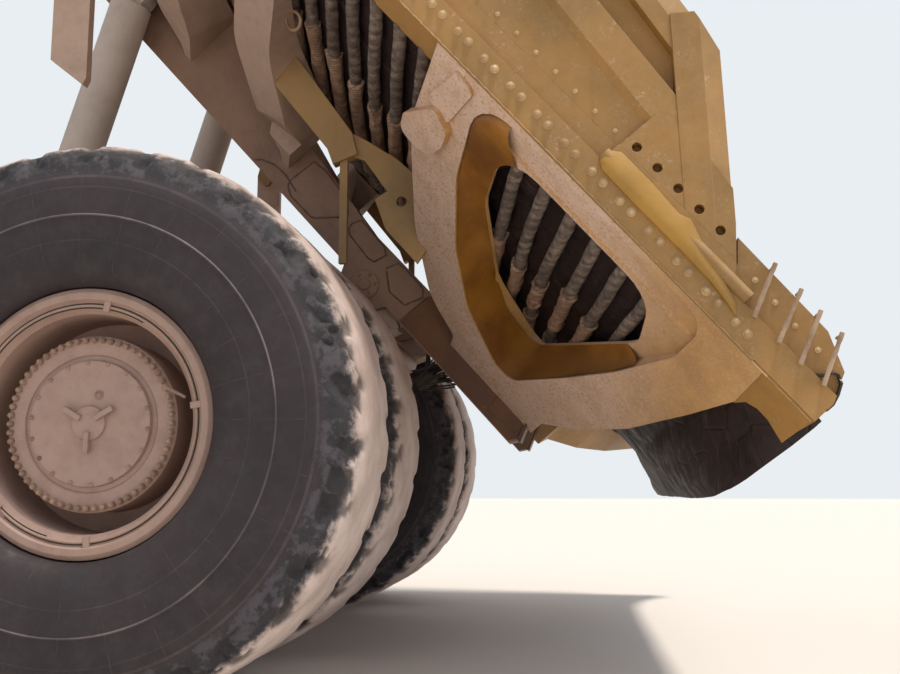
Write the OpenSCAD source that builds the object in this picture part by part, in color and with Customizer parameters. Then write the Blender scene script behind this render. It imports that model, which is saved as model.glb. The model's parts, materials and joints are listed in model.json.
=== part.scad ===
// Rigid mining dump truck with a suspended rope and rubber mat body, standing with the body raised.
// +X points to the front, +Y to the truck's left, +Z up. The origin is on the ground,
// under the middle of the truck's outline. Sizes are millimetres.

/* [Tyres and wheels] */
// Outer diameter of each tyre
tyre_d = 3820; // [3740:10:3880]
// Width of a tyre across its sidewalls
tyre_w = 1370; // [1320:10:1400]
// Outer diameter of a rim's flanges
rim_d = 1806; // [1770:2:1850]
// Width of a rim over its flanges
rim_w = 1040; // [1000:10:1080]
// Diameter of a rim's bead seat
bead_d = 1600; // [1570:10:1640]
// Radius of the wheel hub's round face
hub_r = 600; // [560:5:640]
// Middle of the truck to the middle of a front tyre
front_y = 3300; // [3250:10:3360]
// Middle of the truck to the middle of a pair of rear tyres
dual_y = 2950; // [2930:10:2990]
// Distance between the two tyres of a pair
dual_pitch = 1620; // [1580:10:1660]
// Number of tread bars round a tyre's shoulder
lug_count = 30; // [24:1:34]
// Depth of the notches between the tread bars
lug_depth = 75; // [50:5:90]

/* [Chassis] */
// Distance between the front and rear axles
wheelbase = 6350; // [6200:10:6500]
// Middle of the truck's outline to the rear axle, forward
rear_x = -2220; // [-2350:10:-2100]
// Outer face of a frame rail from the truck's middle
rail_y = 1200; // [1180:5:1210]
// Width of a frame rail and of a body rail
rail_w = 340; // [300:10:360]
// Height of the frame rails' top above the ground
frame_top = 3350; // [3330:5:3370]
// Kingpin from the truck's middle
kingpin_y = 2050; // [2000:10:2090]
// Height of the deck's walking surface
deck_z = 4300; // [4270:10:4340]
// Thickness of the deck
deck_t = 130; // [100:10:140]
// Outer edge of the deck from the truck's middle
deck_y = 3900; // [3850:10:3950]
// Diameter of the handrail tubes
handrail_d = 50; // [40:2:60]
// Height of the handrails
handrail_h = 1100; // [1000:20:1200]

/* [Cab] */
// Length of the cab
cab_l = 1950; // [1850:10:2000]
// Width of the cab
cab_w = 1750; // [1700:10:1800]
// Height of the cab
cab_h = 2150; // [2050:10:2200]
// Thickness of the cab's walls
cab_wall = 80; // [70:5:90]
// Thickness of the window panes
glass_t = 12; // [8:1:16]

/* [Body] */
// Angle of the raised body above its travelling position
bed_angle = 48; // [40:1:50]
// Body pivot behind the rear axle
bed_pivot_back = 1300; // [1280:5:1320]
// Height of the body pivot above the ground
bed_pivot_z = 3410; // [3400:5:3430]
// Body pivot to the tail of the side beams
tail_x = 3420; // [3400:10:3450]
// Body pivot to the front wall
front_wall_x = 5900; // [5800:10:6000]
// Body pivot to the front edge of the canopy
canopy_x = 9050; // [8800:10:9200]
// Outer face of a side beam from the truck's middle
beam_y = 4100; // [4090:5:4130]
// Width of a side beam
beam_w = 300; // [290:5:320]
// Bottom of a side beam above the body pivot
beam_z = 1550; // [1545:5:1570]
// Height of a side beam
beam_h = 370; // [350:5:390]
// Slope of the ring arms from the side beam down to the rail
arm_slope = 24.4; // [23.8:0.1:24.8]
// Thickness of the ring arms' inner plates
arm_plate = 30; // [20:2:40]

/* [Mat and ropes] */
// Underside of the mat at its middle, above the body pivot
mat_mid_z = 900; // [890:5:930]
// Underside of the mat at its edges, above the body pivot
mat_edge_z = 1570; // [1560:5:1580]
// Thickness of the rubber mat
mat_t = 90; // [70:5:110]
// How far the mat hangs past the tail of the side beams
mat_tail = 80; // [60:10:140]
// How far the mat's tail droops at its middle
mat_droop = 40; // [20:10:80]
// Diameter of a rope
rope_d = 110; // [90:2:116]
// Distance between the ropes
rope_pitch = 267; // [240:1:320]

/* [Hoists and steering] */
// Outer diameter of a hoist's barrel
hoist_d = 400; // [380:5:420]
// Hoist's middle from the truck's middle
hoist_y = 1440; // [1435:5:1460]
// Hoist's upper pin ahead of the body pivot
hoist_top_x = 3750; // [3700:10:3800]
// Hoist's upper pin above the body pivot
hoist_top_z = 270; // [260:5:300]
// Hoist's lower pin ahead of the rear axle
hoist_foot_x = 2500; // [2450:10:2550]
// Height of the hoist's lower pin above the ground
hoist_foot_z = 1400; // [1350:10:1450]
// Diameter of a steering cylinder's barrel
steer_d = 180; // [160:5:200]
// Length of the steering arms behind the kingpins
steer_arm = 850; // [820:10:880]

/* [Hidden] */

seat = 0.3;
play = 0.3;
side_gap = 8;
axle_z = tyre_d / 2;
front_x = rear_x + wheelbase;
bed_pivot_x = rear_x - bed_pivot_back;
ochre = "#b08a4a";
tan_paint = "#a98b73";
dark = "#3b3739";
steel = "#9a9a98";

// Points along a fillet of radius q[2] at corner q, between the corners p and s
function unit(v) = v / norm(v);
function fillet(p, q, s, n) =
    let (c = [q[0], q[1]], u = unit([p[0], p[1]] - c), v = unit([s[0], s[1]] - c),
         half = acos(u * v) / 2, run = q[2] / tan(half),
         mid = c + unit(u + v) * q[2] / sin(half),
         a0 = atan2((c + u * run - mid)[1], (c + u * run - mid)[0]),
         a1 = atan2((c + v * run - mid)[1], (c + v * run - mid)[0]),
         turn = a1 - a0 > 180 ? a1 - a0 - 360 : (a1 - a0 < -180 ? a1 - a0 + 360 : a1 - a0))
    q[2] == 0 ? [c] : [for (i = [0:n]) mid + q[2] * [cos(a0 + turn * i / n), sin(a0 + turn * i / n)]];
// Outline through a table of corners, whose columns are x, y and the corner's radius
function rounded(t, n = 5) =
    [for (i = [0:len(t) - 1]) each fillet(t[(i + len(t) - 1) % len(t)], t[i], t[(i + 1) % len(t)], n)];
function mirrored(t) = [for (i = [len(t) - 1:-1:0]) [t[i][0], -t[i][1]]];
function y_mirrored(t) = [for (i = [len(t) - 1:-1:0]) [-t[i][0], t[i][1]]];

module on_side(side) { if (side > 0) children(); else mirror([0, 1, 0]) children(); }
module both_sides() { for (side = [1, -1]) on_side(side) children(); }
// Extrusion of a profile in X and Z between two values of Y
module along_y(y0, y1) { translate([0, y1, 0]) rotate([90, 0, 0]) linear_extrude(y1 - y0) children(); }
// Extrusion of a profile in Y and Z between two values of X
module along_x(x0, x1) { translate([x0, 0, 0]) rotate([90, 0, 90]) linear_extrude(x1 - x0) children(); }
// Turned shape whose axis lies along Y
module about_y() { rotate([-90, 0, 0]) rotate_extrude($fn = 72) children(); }
module box(lo, hi) { translate(lo) cube(hi - lo); }
module rod_y(x, z, y0, y1, r) { translate([x, y0, z]) rotate([-90, 0, 0]) cylinder(r = r, h = y1 - y0, $fn = 48); }
module tube_to(a, b, r) {
    d = b - a;
    translate(a) rotate([0, acos(d[2] / norm(d)), atan2(d[1], d[0])]) cylinder(r = r, h = norm(d), $fn = 24);
}
module in_bed() { translate([bed_pivot_x, 0, bed_pivot_z]) rotate([0, -bed_angle, 0]) children(); }

// Tyres and wheels

bead_r = bead_d / 2;
rim_r = rim_d / 2;
flange_t = 50;
flange_in = rim_w / 2 - flange_t;
rim_core_r = bead_r - 60;

// Half section of a tyre as [radius, offset from the tyre's middle]
tyre_r = tyre_d / 2;
tyre_half = [[bead_r + seat, flange_in - 110], [bead_r + seat, flange_in - seat],
    [rim_r + 12, flange_in - seat], [rim_r + 70, tyre_w / 2 - 75], [tyre_r - 740, tyre_w / 2 - 12],
    [tyre_r - 490, tyre_w / 2], [tyre_r - 250, tyre_w / 2 - 18], [tyre_r - 110, tyre_w / 2 - 50],
    [tyre_r - 22, tyre_w / 2 - 125], [tyre_r, tyre_w / 2 - 360]];
tyre_inside = [[tyre_r - 220, tyre_w / 2 - 360], [tyre_r - 300, tyre_w / 2 - 150],
    [tyre_r - 600, tyre_w / 2 - 110], [rim_r + 90, tyre_w / 2 - 200]];

module tyre() {
    difference() {
        about_y() polygon(concat(tyre_half, mirrored(tyre_half),
            mirrored(tyre_inside), tyre_inside));
        for (side = [1, -1], i = [0:lug_count - 1])
            rotate([0, (i + (side > 0 ? 0 : 0.5)) * 360 / lug_count, 0])
                translate([0, side * (tyre_w / 2 - 130), tyre_r]) rotate([0, 0, side * 65])
                    cube([330, 90, 2 * lug_depth], center = true);
    }
}

// One rim: flanges, bead seat and well, as [radius, offset]
module rim_ring() {
    about_y() polygon([[rim_core_r, -rim_w / 2], [rim_r - 30, -rim_w / 2], [rim_r, -rim_w / 2 + 20],
        [rim_r, -flange_in], [bead_r, -flange_in], [bead_r, flange_in], [rim_r, flange_in],
        [rim_r, rim_w / 2 - 20], [rim_r - 30, rim_w / 2], [rim_r - 75, rim_w / 2],
        [rim_r - 90, rim_w / 2 - 30], [bead_r - 20, rim_w / 2 - 30], [rim_core_r, rim_w / 2 - 90]]);
}

// Face of a hub, standing out from y0 to y1, with its bore for the axle's spindle
spindle_r = 300;
spindle_in = 140;
module hub(y0, y1) {
    about_y() polygon([[spindle_r + play, y0], [hub_r, y0], [hub_r, y1 - 25], [hub_r - 25, y1],
        [hub_r - 130, y1], [hub_r - 140, y1 - 12], [hub_r - 170, y1 - 12], [hub_r - 175, y1 + 25],
        [120, y1 + 25], [115, y1 + 45], [0, y1 + 45], [0, y0 + spindle_in + seat],
        [spindle_r + play, y0 + spindle_in + seat]]);
    translate([0, y1 + 44, 0]) rotate([-90, 0, 0])
        for (a = [90, 210, 330]) rotate([0, 0, a]) translate([60, -18, 0]) cube([140, 36, 30]);
}

dual_out = dual_y + dual_pitch / 2;
dual_in = dual_y - dual_pitch / 2;
hub_face_y = dual_out + rim_w / 2 - 160;
hub_back_y = dual_out - 110;

module rims_rear(side) {
    color(tan_paint) translate([rear_x, 0, axle_z]) on_side(side) {
        translate([0, dual_out, 0]) rim_ring();
        translate([0, dual_in, 0]) mirror([0, 1, 0]) rim_ring();
        about_y() polygon([[rim_core_r, dual_in + rim_w / 2 - 91], [rim_core_r + 40, dual_in + rim_w / 2 - 91],
            [rim_core_r + 40, dual_out - rim_w / 2 + 1], [rim_core_r, dual_out - rim_w / 2 + 1]]);
        about_y() polygon([[hub_r - 1, hub_back_y], [rim_core_r + 1, hub_back_y],
            [rim_core_r + 1, hub_back_y + 60], [hub_r - 1, hub_back_y + 60]]);
        hub(hub_back_y, hub_face_y);
    }
}
module tyres_rear(side) {
    color(dark) translate([rear_x, 0, axle_z]) on_side(side)
        for (y = [dual_out, dual_in]) translate([0, y, 0]) tyre();
}
front_hub_back = front_y - 200;
module rim_front(side) {
    color(tan_paint) translate([front_x, 0, axle_z]) on_side(side) {
        translate([0, front_y, 0]) rim_ring();
        about_y() polygon([[hub_r - 101, front_hub_back], [rim_core_r + 1, front_hub_back],
            [rim_core_r + 1, front_hub_back + 60], [hub_r - 101, front_hub_back + 60]]);
        about_y() polygon([[spindle_r + play, front_hub_back - 60], [hub_r - 100, front_hub_back - 60],
            [hub_r - 100, front_y + 250], [hub_r - 150, front_y + 300], [260, front_y + 300],
            [240, front_y + 360], [0, front_y + 360], [0, front_hub_back + spindle_in + seat],
            [spindle_r + play, front_hub_back + spindle_in + seat]]);
    }
}
module tyre_front(side) {
    color(dark) translate([front_x, 0, axle_z]) on_side(side) translate([0, front_y, 0]) tyre();
}

// Chassis

pivot_r = 110;
ear_y0 = 940;
ear_y1 = 1100;
rail_in = rail_y - rail_w;
// Side outline of a frame rail as [x from the rear axle, z, radius]
frame_side = [[-1620, 2980, 0], [-950, 2980, 60], [-880, frame_top, 40], [4780, frame_top, 120], [5150, 2500, 200],
    [wheelbase + 2700, 2500, 0], [wheelbase + 2700, 1750, 0], [3700, 1750, 300], [2100, 1980, 300],
    [900, 2760, 200], [-1100, 2760, 60]];
module main_frame() {
    color(tan_paint) translate([rear_x, 0, 0]) {
        both_sides() difference() {
            union() {
                along_y(rail_in, rail_y) polygon(rounded(frame_side, 3));
                // Ear that carries the body pivot, between the two ears of the body rail
                along_y(ear_y0, ear_y1) polygon(rounded([[-1620, 2970, 0], [-bed_pivot_back - 190, bed_pivot_z + 190, 180],
                    [-bed_pivot_back + 190, bed_pivot_z + 190, 180], [-900, 2970, 0]], 5));
                rod_y(-bed_pivot_back, bed_pivot_z, rail_in, rail_y, pivot_r);
                for (x = [-500, 1300, 3300]) box([x, rail_in + 40, frame_top - 1], [x + 900, rail_y - 40, frame_top + 50]);
                // Hoist foot: two ears that hold the lower pin's eye between them
                for (y = [hoist_y - 180, hoist_y + 130]) along_y(y, y + 50)
                    polygon(rounded([[hoist_foot_x - 160, hoist_foot_z - 160, 100],
                        [hoist_foot_x - 160, hoist_foot_z + 120, 60], [hoist_foot_x + 160, hoist_foot_z + 120, 60],
                        [hoist_foot_x + 320, hoist_foot_z - 160, 0], [hoist_foot_x + 320, hoist_foot_z - 420, 0],
                        [hoist_foot_x - 100, hoist_foot_z - 420, 0]], 3));
                box([hoist_foot_x - 100, rail_in, hoist_foot_z - 480], [hoist_foot_x + 320, hoist_y + 180, hoist_foot_z - 380]);
                box([hoist_foot_x - 60, rail_in, hoist_foot_z - 400], [hoist_foot_x + 300, rail_y - 60, 1960]);
            }
        }
        // Cross members
        rod_y(-1400, 2880, -rail_in - 5, rail_in + 5, 110);
        box([1500, -rail_in - 5, 2500], [1900, rail_in + 5, 3200]);
        box([3500, -rail_in - 5, 1800], [3800, rail_in + 5, 2300]);
        box([wheelbase - 560, -rail_in - 5, 1620], [wheelbase - 240, rail_in + 5, 1780]);
        box([wheelbase + 2400, -rail_in - 5, 1800], [wheelbase + 2700, rail_in + 5, 2200]);
        // Pins that hold the steering cylinders from above
        both_sides() translate([wheelbase - steer_hold, steer_y0, steer_z - 50]) cylinder(r = 40, h = 1640 - steer_z + 50, $fn = 32);
    }
}
module front_collar() {
    color(tan_paint) translate([front_x, 0, 0]) both_sides() difference() {
        union() {
            box([-350, rail_y + seat, 1850], [350, 1620, deck_z - deck_t - seat]);
            box([-260, 1600, 2700], [260, kingpin_y - 240 - seat, 3900]);
        }
        box([-360, rail_y + 80, 2900], [360, 1540, 3700]);
    }
}
lamp_y = [2500, 2850];
lamp_r = 110;
lamp_pocket = 80;
module front_bumper() {
    color(tan_paint) translate([front_x + 2700 + seat, 0, 0]) difference() {
        union() {
            along_y(-3550, 3550) polygon(rounded([[60, 1250, 60], [400, 1250, 120], [400, 1950, 60], [60, 1950, 0]], 3));
            box([0, -1350, 1450], [80, 1350, 1900]);
        }
        // Recesses and vertical bores for the tow pins
        both_sides() {
            box([180, 820, 1480], [500, 1180, 1720]);
            translate([300, 1000, 1200]) cylinder(r = 60, h = 900, $fn = 48);
            for (y = lamp_y) translate([400 - lamp_pocket, y, 1600]) rotate([0, 90, 0]) cylinder(r = lamp_r + 20, h = lamp_pocket + 1, $fn = 48);
        }
    }
}
housing_r = 620;
housing_end = hub_back_y - 10;
module rear_axle() {
    color(tan_paint) translate([rear_x, 0, axle_z]) {
        difference() {
            about_y() polygon(concat([[0, -housing_end + 0], [housing_r - 20, -housing_end]],
                [[housing_r - 20, -1500], [housing_r + 60, -1300], [housing_r + 60, 1300], [housing_r - 20, 1500]],
                [[housing_r - 20, housing_end], [0, housing_end]]));
        }
        both_sides() rod_y(0, 0, housing_end - 10, hub_back_y + spindle_in, spindle_r);
        // Nose of the axle, reaching forward to its pivot under the frame
        along_y(-420, 420) polygon(rounded([[400, -350, 0], [1900, -230, 200], [1900, 230, 200], [400, 450, 0]], 4));
        // Lugs for the suspension struts
        both_sides() along_y(820, 1060) polygon(rounded([[-900, -150, 120], [-900, 160, 60], [-680, 160, 0], [-500, 320, 0], [-400, -320, 0]], 4));
    }
}
module rear_struts() {
    color(steel) translate([rear_x, 0, 0]) both_sides() {
        translate([-790, 940, axle_z + 160 + seat]) cylinder(r = 110, h = 300, $fn = 36);
        translate([-790, 940, axle_z + 460]) cylinder(r = 150, h = 2760 - seat - axle_z - 460, $fn = 36);
    }
}
strut_r = 240;
strut_bore = 170;
strut_low = 2550;
module front_struts() {
    color(tan_paint) translate([front_x, 0, 0]) both_sides() translate([0, kingpin_y, 0]) {
        translate([0, 0, strut_low]) difference() {
            cylinder(r = strut_r, h = 4000 - strut_low, $fn = 48);
            translate([0, 0, -1]) cylinder(r = strut_bore + play, h = 420, $fn = 48);
        }
    }
}
module engine_block() {
    color("#6b6a62") translate([rear_x, 0, 0]) {
        box([4950, -rail_in + 20, 1900], [wheelbase + 1900, rail_in - 20, 3750]);
        for (x = [5300, wheelbase + 1300]) box([x, -rail_in + seat, 2150], [x + 250, rail_in - seat, 2350]);
        translate([3850, 0, 2450]) rotate([0, 90, 0]) cylinder(r = 640, h = 1101, $fn = 48);
    }
}
rad_x = front_x + 2150;
module radiator() {
    color(ochre) {
        difference() {
            box([rad_x, -1350, 2500 + seat], [rad_x + 500, 1350, deck_z - deck_t - seat]);
            box([rad_x + 420, -1230, 2650], [rad_x + 501, 1230, 4050]);
        }
        for (i = [0:11]) box([rad_x + 419, -1231, 2720 + i * 112], [rad_x + 490, 1231, 2750 + i * 112]);
        for (y = [-620, 0, 620]) box([rad_x + 419, y - 25, 2649], [rad_x + 480, y + 25, 4051]);
    }
}
// Tanks' ends, forward of the rear axle
tank_x0 = 2120;
tank_x1 = 3540;
module fuel_tank() {
    color(ochre) {
        along_y(1750, 3550) translate([rear_x, 0]) polygon(rounded([[tank_x0, 1150, 200], [tank_x1, 1150, 200], [tank_x1, 2900, 200], [tank_x0, 2900, 200]], 4));
        for (x = [2950, 3350]) box([rear_x + x, rail_y + seat, 2050], [rear_x + x + 120, 1751, 2300]);
        translate([rear_x + 2700, 3300, 2899]) cylinder(r = 90, h = 120, $fn = 32);
    }
}
module hydraulic_tank() {
    color(ochre) {
        mirror([0, 1, 0]) along_y(1750, 3100) translate([rear_x, 0]) polygon(rounded([[tank_x0, 1250, 150], [tank_x1, 1250, 150], [tank_x1, 2700, 150], [tank_x0, 2700, 150]], 4));
        for (x = [2950, 3350]) box([rear_x + x, -1751, 2050], [rear_x + x + 120, -rail_y - seat, 2300]);
        translate([rear_x + 2700, -2500, 2699]) cylinder(r = 80, h = 110, $fn = 32);
    }
}
deck_x0 = front_x - 1400;
deck_x1 = front_x + 2650;
module deck() {
    color(tan_paint) {
        difference() {
            box([deck_x0, -deck_y, deck_z - deck_t], [deck_x1, deck_y, deck_z]);
            box([front_x + 300, -900, deck_z - deck_t - 1], [front_x + 1500, 900, deck_z + 1]);
        }
        box([front_x + 250, -950, deck_z - 1], [front_x + 1550, 950, deck_z + 60]);
        // Fender flanges along the deck's outer edges
        both_sides() box([deck_x0, deck_y - 40, deck_z - deck_t - 160], [deck_x1, deck_y, deck_z - deck_t + 1]);
    }
}

// Handrail panels as [x0, y0, x1, y1]
rail_in_edge = deck_y - 60;
panels = [[deck_x0 + 60, rail_in_edge, front_x + 300, rail_in_edge], [front_x + 420, rail_in_edge, deck_x1 - 60, rail_in_edge],
    [deck_x0 + 60, -rail_in_edge, front_x + 300, -rail_in_edge], [front_x + 420, -rail_in_edge, deck_x1 - 60, -rail_in_edge],
    [deck_x1 - 60, -rail_in_edge + 120, deck_x1 - 60, -2000], [deck_x1 - 60, -1200, deck_x1 - 60, 1150]];
module handrails() {
    color("#c9a23c") for (p = panels) {
        a = [p[0], p[1], deck_z + seat];
        b = [p[2], p[3], deck_z + seat];
        for (e = [a, (a + b) / 2, b]) translate(e) cylinder(d = handrail_d, h = handrail_h, $fn = 24);
        for (h = [handrail_h * 0.55, handrail_h - handrail_d / 2]) tube_to(a + [0, 0, h], b + [0, 0, h], handrail_d / 2 - 2);
    }
}

// Cab

cab_x = front_x + 400;
cab_y = 1150;
cab_side = [[0, 0], [cab_l, 0], [cab_l, cab_h * 0.4], [cab_l - 150, cab_h], [0, cab_h]];
cab_inner = [[cab_wall, cab_wall], [cab_l - cab_wall, cab_wall], [cab_l - cab_wall, cab_h * 0.4],
    [cab_l - 150 - cab_wall, cab_h - cab_wall], [cab_wall, cab_h - cab_wall]];
door_x0 = 500;
door_x1 = 1330;
door_z0 = cab_wall + 10;
door_z1 = cab_h - 160;
win_z0 = 950;
win_z1 = cab_h - 230;
hinge_r = 12;
hinge_x = door_x1 + 30;
hinge_y = cab_w + 24;
hinge_z = [500, 1500];
module cab_place() { translate([cab_x, cab_y, deck_z + seat]) children(); }
module cab_shell() {
    color(ochre) cab_place() difference() {
        along_y(0, cab_w) polygon(cab_side);
        along_y(cab_wall, cab_w - cab_wall) polygon(cab_inner);
        // Door opening and the side windows
        box([door_x0, cab_w - cab_wall - 1, door_z0], [door_x1, cab_w + 1, door_z1]);
        box([door_x1 + 130, cab_w - cab_wall - 1, win_z0], [cab_l - 240, cab_w + 1, win_z1]);
        box([300, -1, win_z0], [cab_l - 240, cab_wall + 1, win_z1]);
        // Windscreen and rear window
        box([cab_l - 400, 150, win_z0], [cab_l + 10, cab_w - 150, win_z1]);
        box([-1, 250, win_z0], [cab_wall + 1, cab_w - 250, win_z1]);
    }
    // Door hinges' pins and their lugs
    color(ochre) cab_place() for (z = hinge_z) {
        translate([hinge_x, hinge_y, z - 30]) cylinder(r = hinge_r, h = 150, $fn = 24);
        for (h = [-40, 100]) box([hinge_x - 16, cab_w - 1, z + h], [hinge_x + 16, hinge_y + 16, z + h + 30]);
    }
}
module pane_y(y, x0, x1, z0, z1) { box([x0 + seat, y - glass_t / 2, z0 + seat], [x1 - seat, y + glass_t / 2, z1 - seat]); }
lean = 150 / (cab_h * 0.6);
module cab_glass() {
    color("#9fb4b8", 0.4) cab_place() {
        pane_y(cab_w - cab_wall / 2, door_x1 + 130, cab_l - 240, win_z0, win_z1);
        pane_y(cab_wall / 2, 300, cab_l - 240, win_z0, win_z1);
        box([cab_wall / 2 - glass_t / 2, 250 + seat, win_z0 + seat], [cab_wall / 2 + glass_t / 2, cab_w - 250 - seat, win_z1 - seat]);
        along_y(150 + seat, cab_w - 150 - seat) polygon([for (q = [[0, win_z0 + seat], [glass_t, win_z0 + seat], [glass_t, win_z1 - seat], [0, win_z1 - seat]])
            [cab_l - cab_wall / 2 - glass_t / 2 + q[0] - lean * (q[1] - cab_h * 0.4), q[1]]]);
    }
}
module cab_seat() {
    color("#2c2b2b") cab_place() translate([700, cab_w / 2, cab_wall + seat]) {
        translate([250, 0, 0]) cylinder(r = 130, h = 331, $fn = 32);
        along_y(-260, 260) polygon(rounded([[0, 330, 40], [520, 330, 40], [520, 450, 50], [0, 450, 20]], 3));
        along_y(-250, 250) polygon(rounded([[-60, 400, 40], [90, 400, 20], [10, 1150, 50], [-110, 1150, 50]], 3));
    }
}
module cab_console() {
    color("#3a3a38") cab_place() {
        along_y(cab_wall + seat, cab_w - cab_wall - 400) polygon(rounded([[cab_l - 480, cab_wall + seat, 0], [cab_l - cab_wall - seat, cab_wall + seat, 0],
            [cab_l - cab_wall - seat, cab_h * 0.4 - 10, 0], [cab_l - 420, 790, 40]], 3));
        tube_to([cab_l - 430, cab_w / 2, 700], [cab_l - 600, cab_w / 2, 930], 30);
        translate([cab_l - 600, cab_w / 2, 930]) rotate([0, -36, 0]) {
            rotate_extrude($fn = 48) translate([200, 0]) circle(r = 16, $fn = 16);
            cylinder(r = 45, h = 20, center = true, $fn = 24);
            for (a = [90, 210, 330]) rotate([0, 0, a]) translate([0, -12, -6]) cube([200, 24, 12]);
        }
    }
}
door_gap = 6;
module cab_door() {
    color(ochre) cab_place() difference() {
        box([door_x0 + door_gap, cab_w - cab_wall + 1, door_z0 + door_gap], [door_x1 - door_gap, cab_w, door_z1 - door_gap]);
        box([door_x0 + 110, cab_w - cab_wall - 1, win_z0], [door_x1 - 110, cab_w + 1, win_z1 - 60]);
    }
    color(ochre) cab_place() for (z = hinge_z) difference() {
        union() {
            translate([hinge_x, hinge_y, z]) cylinder(r = 22, h = 90, $fn = 32);
            box([door_x1 - 90, cab_w + 2, z], [hinge_x, cab_w + 14, z + 90]);
            box([door_x1 - 90, cab_w - 1, z], [door_x1 - door_gap - 1, cab_w + 14, z + 90]);
        }
        translate([hinge_x, hinge_y, z - 1]) cylinder(r = hinge_r + play, h = 92, $fn = 32);
    }
}
module door_glass() {
    color("#9fb4b8", 0.4) cab_place() pane_y(cab_w - cab_wall / 2, door_x0 + 110, door_x1 - 110, win_z0, win_z1 - 60);
}
module control_cabinet() {
    color(ochre) {
        box([front_x - 700, -1100, deck_z + seat], [front_x + 240, 1150, deck_z + 1750]);
        for (y = [-1060, -320, 420]) box([front_x + 239, y, deck_z + 150], [front_x + 265, y + 680, deck_z + 1650]);
    }
}
module grid_box() {
    color(ochre) difference() {
        box([front_x - 600, -3500, deck_z + seat], [front_x + 1900, -1500, deck_z + 1600]);
        for (x = [-450, 350, 1150]) for (i = [0:6])
            box([front_x + x, -3501, deck_z + 250 + i * 170], [front_x + x + 600, -3420, deck_z + 350 + i * 170]);
    }
}
// Front ladders from the bumper to the deck
module ladders() {
    color("#c9a23c") both_sides() {
        for (y = [1480, 2080]) tube_to([front_x + 3040, y, 1954.8], [front_x + 2700, y, deck_z + 20], 32);
        for (i = [1:7]) tube_to([front_x + 3040 - 42 * i, 1480, 1950 + 290 * i], [front_x + 3040 - 42 * i, 2080, 1950 + 290 * i], 22);
    }
}
module headlamps() {
    color("#e8e6df") both_sides() for (y = lamp_y) translate([front_x + 3100 - lamp_pocket + 2 * seat, y, 1600])
        rotate([0, 90, 0]) cylinder(r = lamp_r, h = lamp_pocket - 10, $fn = 48);
}
module mirrors() {
    color("#2b2b2b") both_sides() {
        tube_to([deck_x1 - 200, deck_y + 22 + seat, deck_z - 60], [deck_x1 - 200, deck_y + 22 + seat, deck_z + 1500], 22);
        box([deck_x1 - 240, deck_y - 60, deck_z + 1200], [deck_x1 - 200, deck_y + 260, deck_z + 1700]);
    }
}
module air_cleaners() {
    color("#7a7467") both_sides() translate([front_x + 2300, 0, 0]) {
        translate([0, 1780, 2900]) cylinder(r = 230, h = deck_z - deck_t - 2900 - seat, $fn = 48);
        box([-60, 1350 + seat, 3300], [60, 1600, 3700]);
    }
}

// Body, in its own frame: x forward from the pivot, z up from the body rails' bottom

mat_edge_y = beam_y - beam_w - seat;
function mat_z(y) = mat_mid_z + (mat_edge_z - mat_mid_z) * pow(abs(y) / mat_edge_y, 1.7);
function beam_under(y) = beam_z - (beam_y - y) * 0.275;
arm_ceiling_y = 2300;
arm_ceiling_slope = 1.7 * (mat_edge_z - mat_mid_z) / mat_edge_y * pow(arm_ceiling_y / mat_edge_y, 0.7);
arm_ceiling_z = mat_z(arm_ceiling_y) - rope_d * 1.045 - 12;
function arm_ceiling(y) = arm_ceiling_z + arm_ceiling_slope * (y - arm_ceiling_y);
beam_in = beam_y - beam_w;
bed_rail_side = [[-2090, 90, 0], [-1920, 440, 0], [-830, 420, 0], [350, 400, 400], [1610, 545, 400], [2760, 790, 300],
    [front_wall_x, 800, 0], [front_wall_x, 0, 0], [-2040, 0, 0]];
module bed_rails() {
    color(tan_paint) in_bed() {
        both_sides() difference() {
            union() {
                along_y(rail_in, rail_y) polygon(rounded(bed_rail_side, 3));
                for (y = [rail_in, ear_y1 + side_gap]) along_y(y, y + (y < 900 ? ear_y0 - side_gap - rail_in : rail_y - ear_y1 - side_gap))
                    polygon(rounded([[-330, 60, 0], [-190, -190, 120], [190, -190, 120], [330, 60, 0]], 4));
            }
            // Slot for the frame's ear
            box([-560, ear_y0 - side_gap, -300], [420, ear_y1 + side_gap, 240]);
            rod_y(0, 0, rail_in - 1, rail_y + 1, pivot_r + play);
        }
        for (x = [-1700, 1900, 3200, 5300]) rod_y(x, 230, -rail_in - 5, rail_in + 5, 130);
        // Ears and stub for the hoists' upper pins
        both_sides() rod_y(hoist_top_x, hoist_top_z, rail_y - 5, hoist_y + 150, 90);
    }
}

// Ring arms: a table of outline corners on the slope, as [x, distance down the slope, radius]
ring_outer = [[120, 0, 0], [150, 800, 0], [70, 1250, 400], [-190, 2070, 700], [-600, 2790, 500], [-980, 2990, 100],
    [-1010, 3400, 0], [-2100, 3400, 0], [-2130, 2890, 100], [-2420, 2420, 400], [-2680, 1800, 500], [-2900, 1000, 300],
    [-3040, 420, 120], [-3040, 0, 0]];
ring_hole = [[-330, 70, 330], [-400, 1050, 700], [-640, 1840, 700], [-980, 2420, 600], [-1620, 2880, 200], [-2020, 2020, 600],
    [-2300, 1350, 600], [-2540, 600, 400], [-2540, 70, 200]];
ring_boss = [[-60, 500, 60], [195, 840, 70], [185, 1030, 90], [0, 1070, 60], [-155, 990, 60], [-230, 800, 80], [-230, 620, 40]];
ring_pad = [[60, 530, 0], [-110, 60, 0], [-310, 80, 60], [-180, 600, 60]];
bean = [[-655, beam_in - 25, 380], [-640, 2900, 900], [-1050, 1300, 250], [-1520, 1130, 150], [-2275, 3180, 300],
    [-2150, beam_in - 25, 300]];
module slope_plane() { translate([0, beam_y, beam_z - 20]) rotate([arm_slope, 0, 0]) children(); }
function down(t) = [for (q = rounded(t)) [q[0], -q[1]]];
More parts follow.
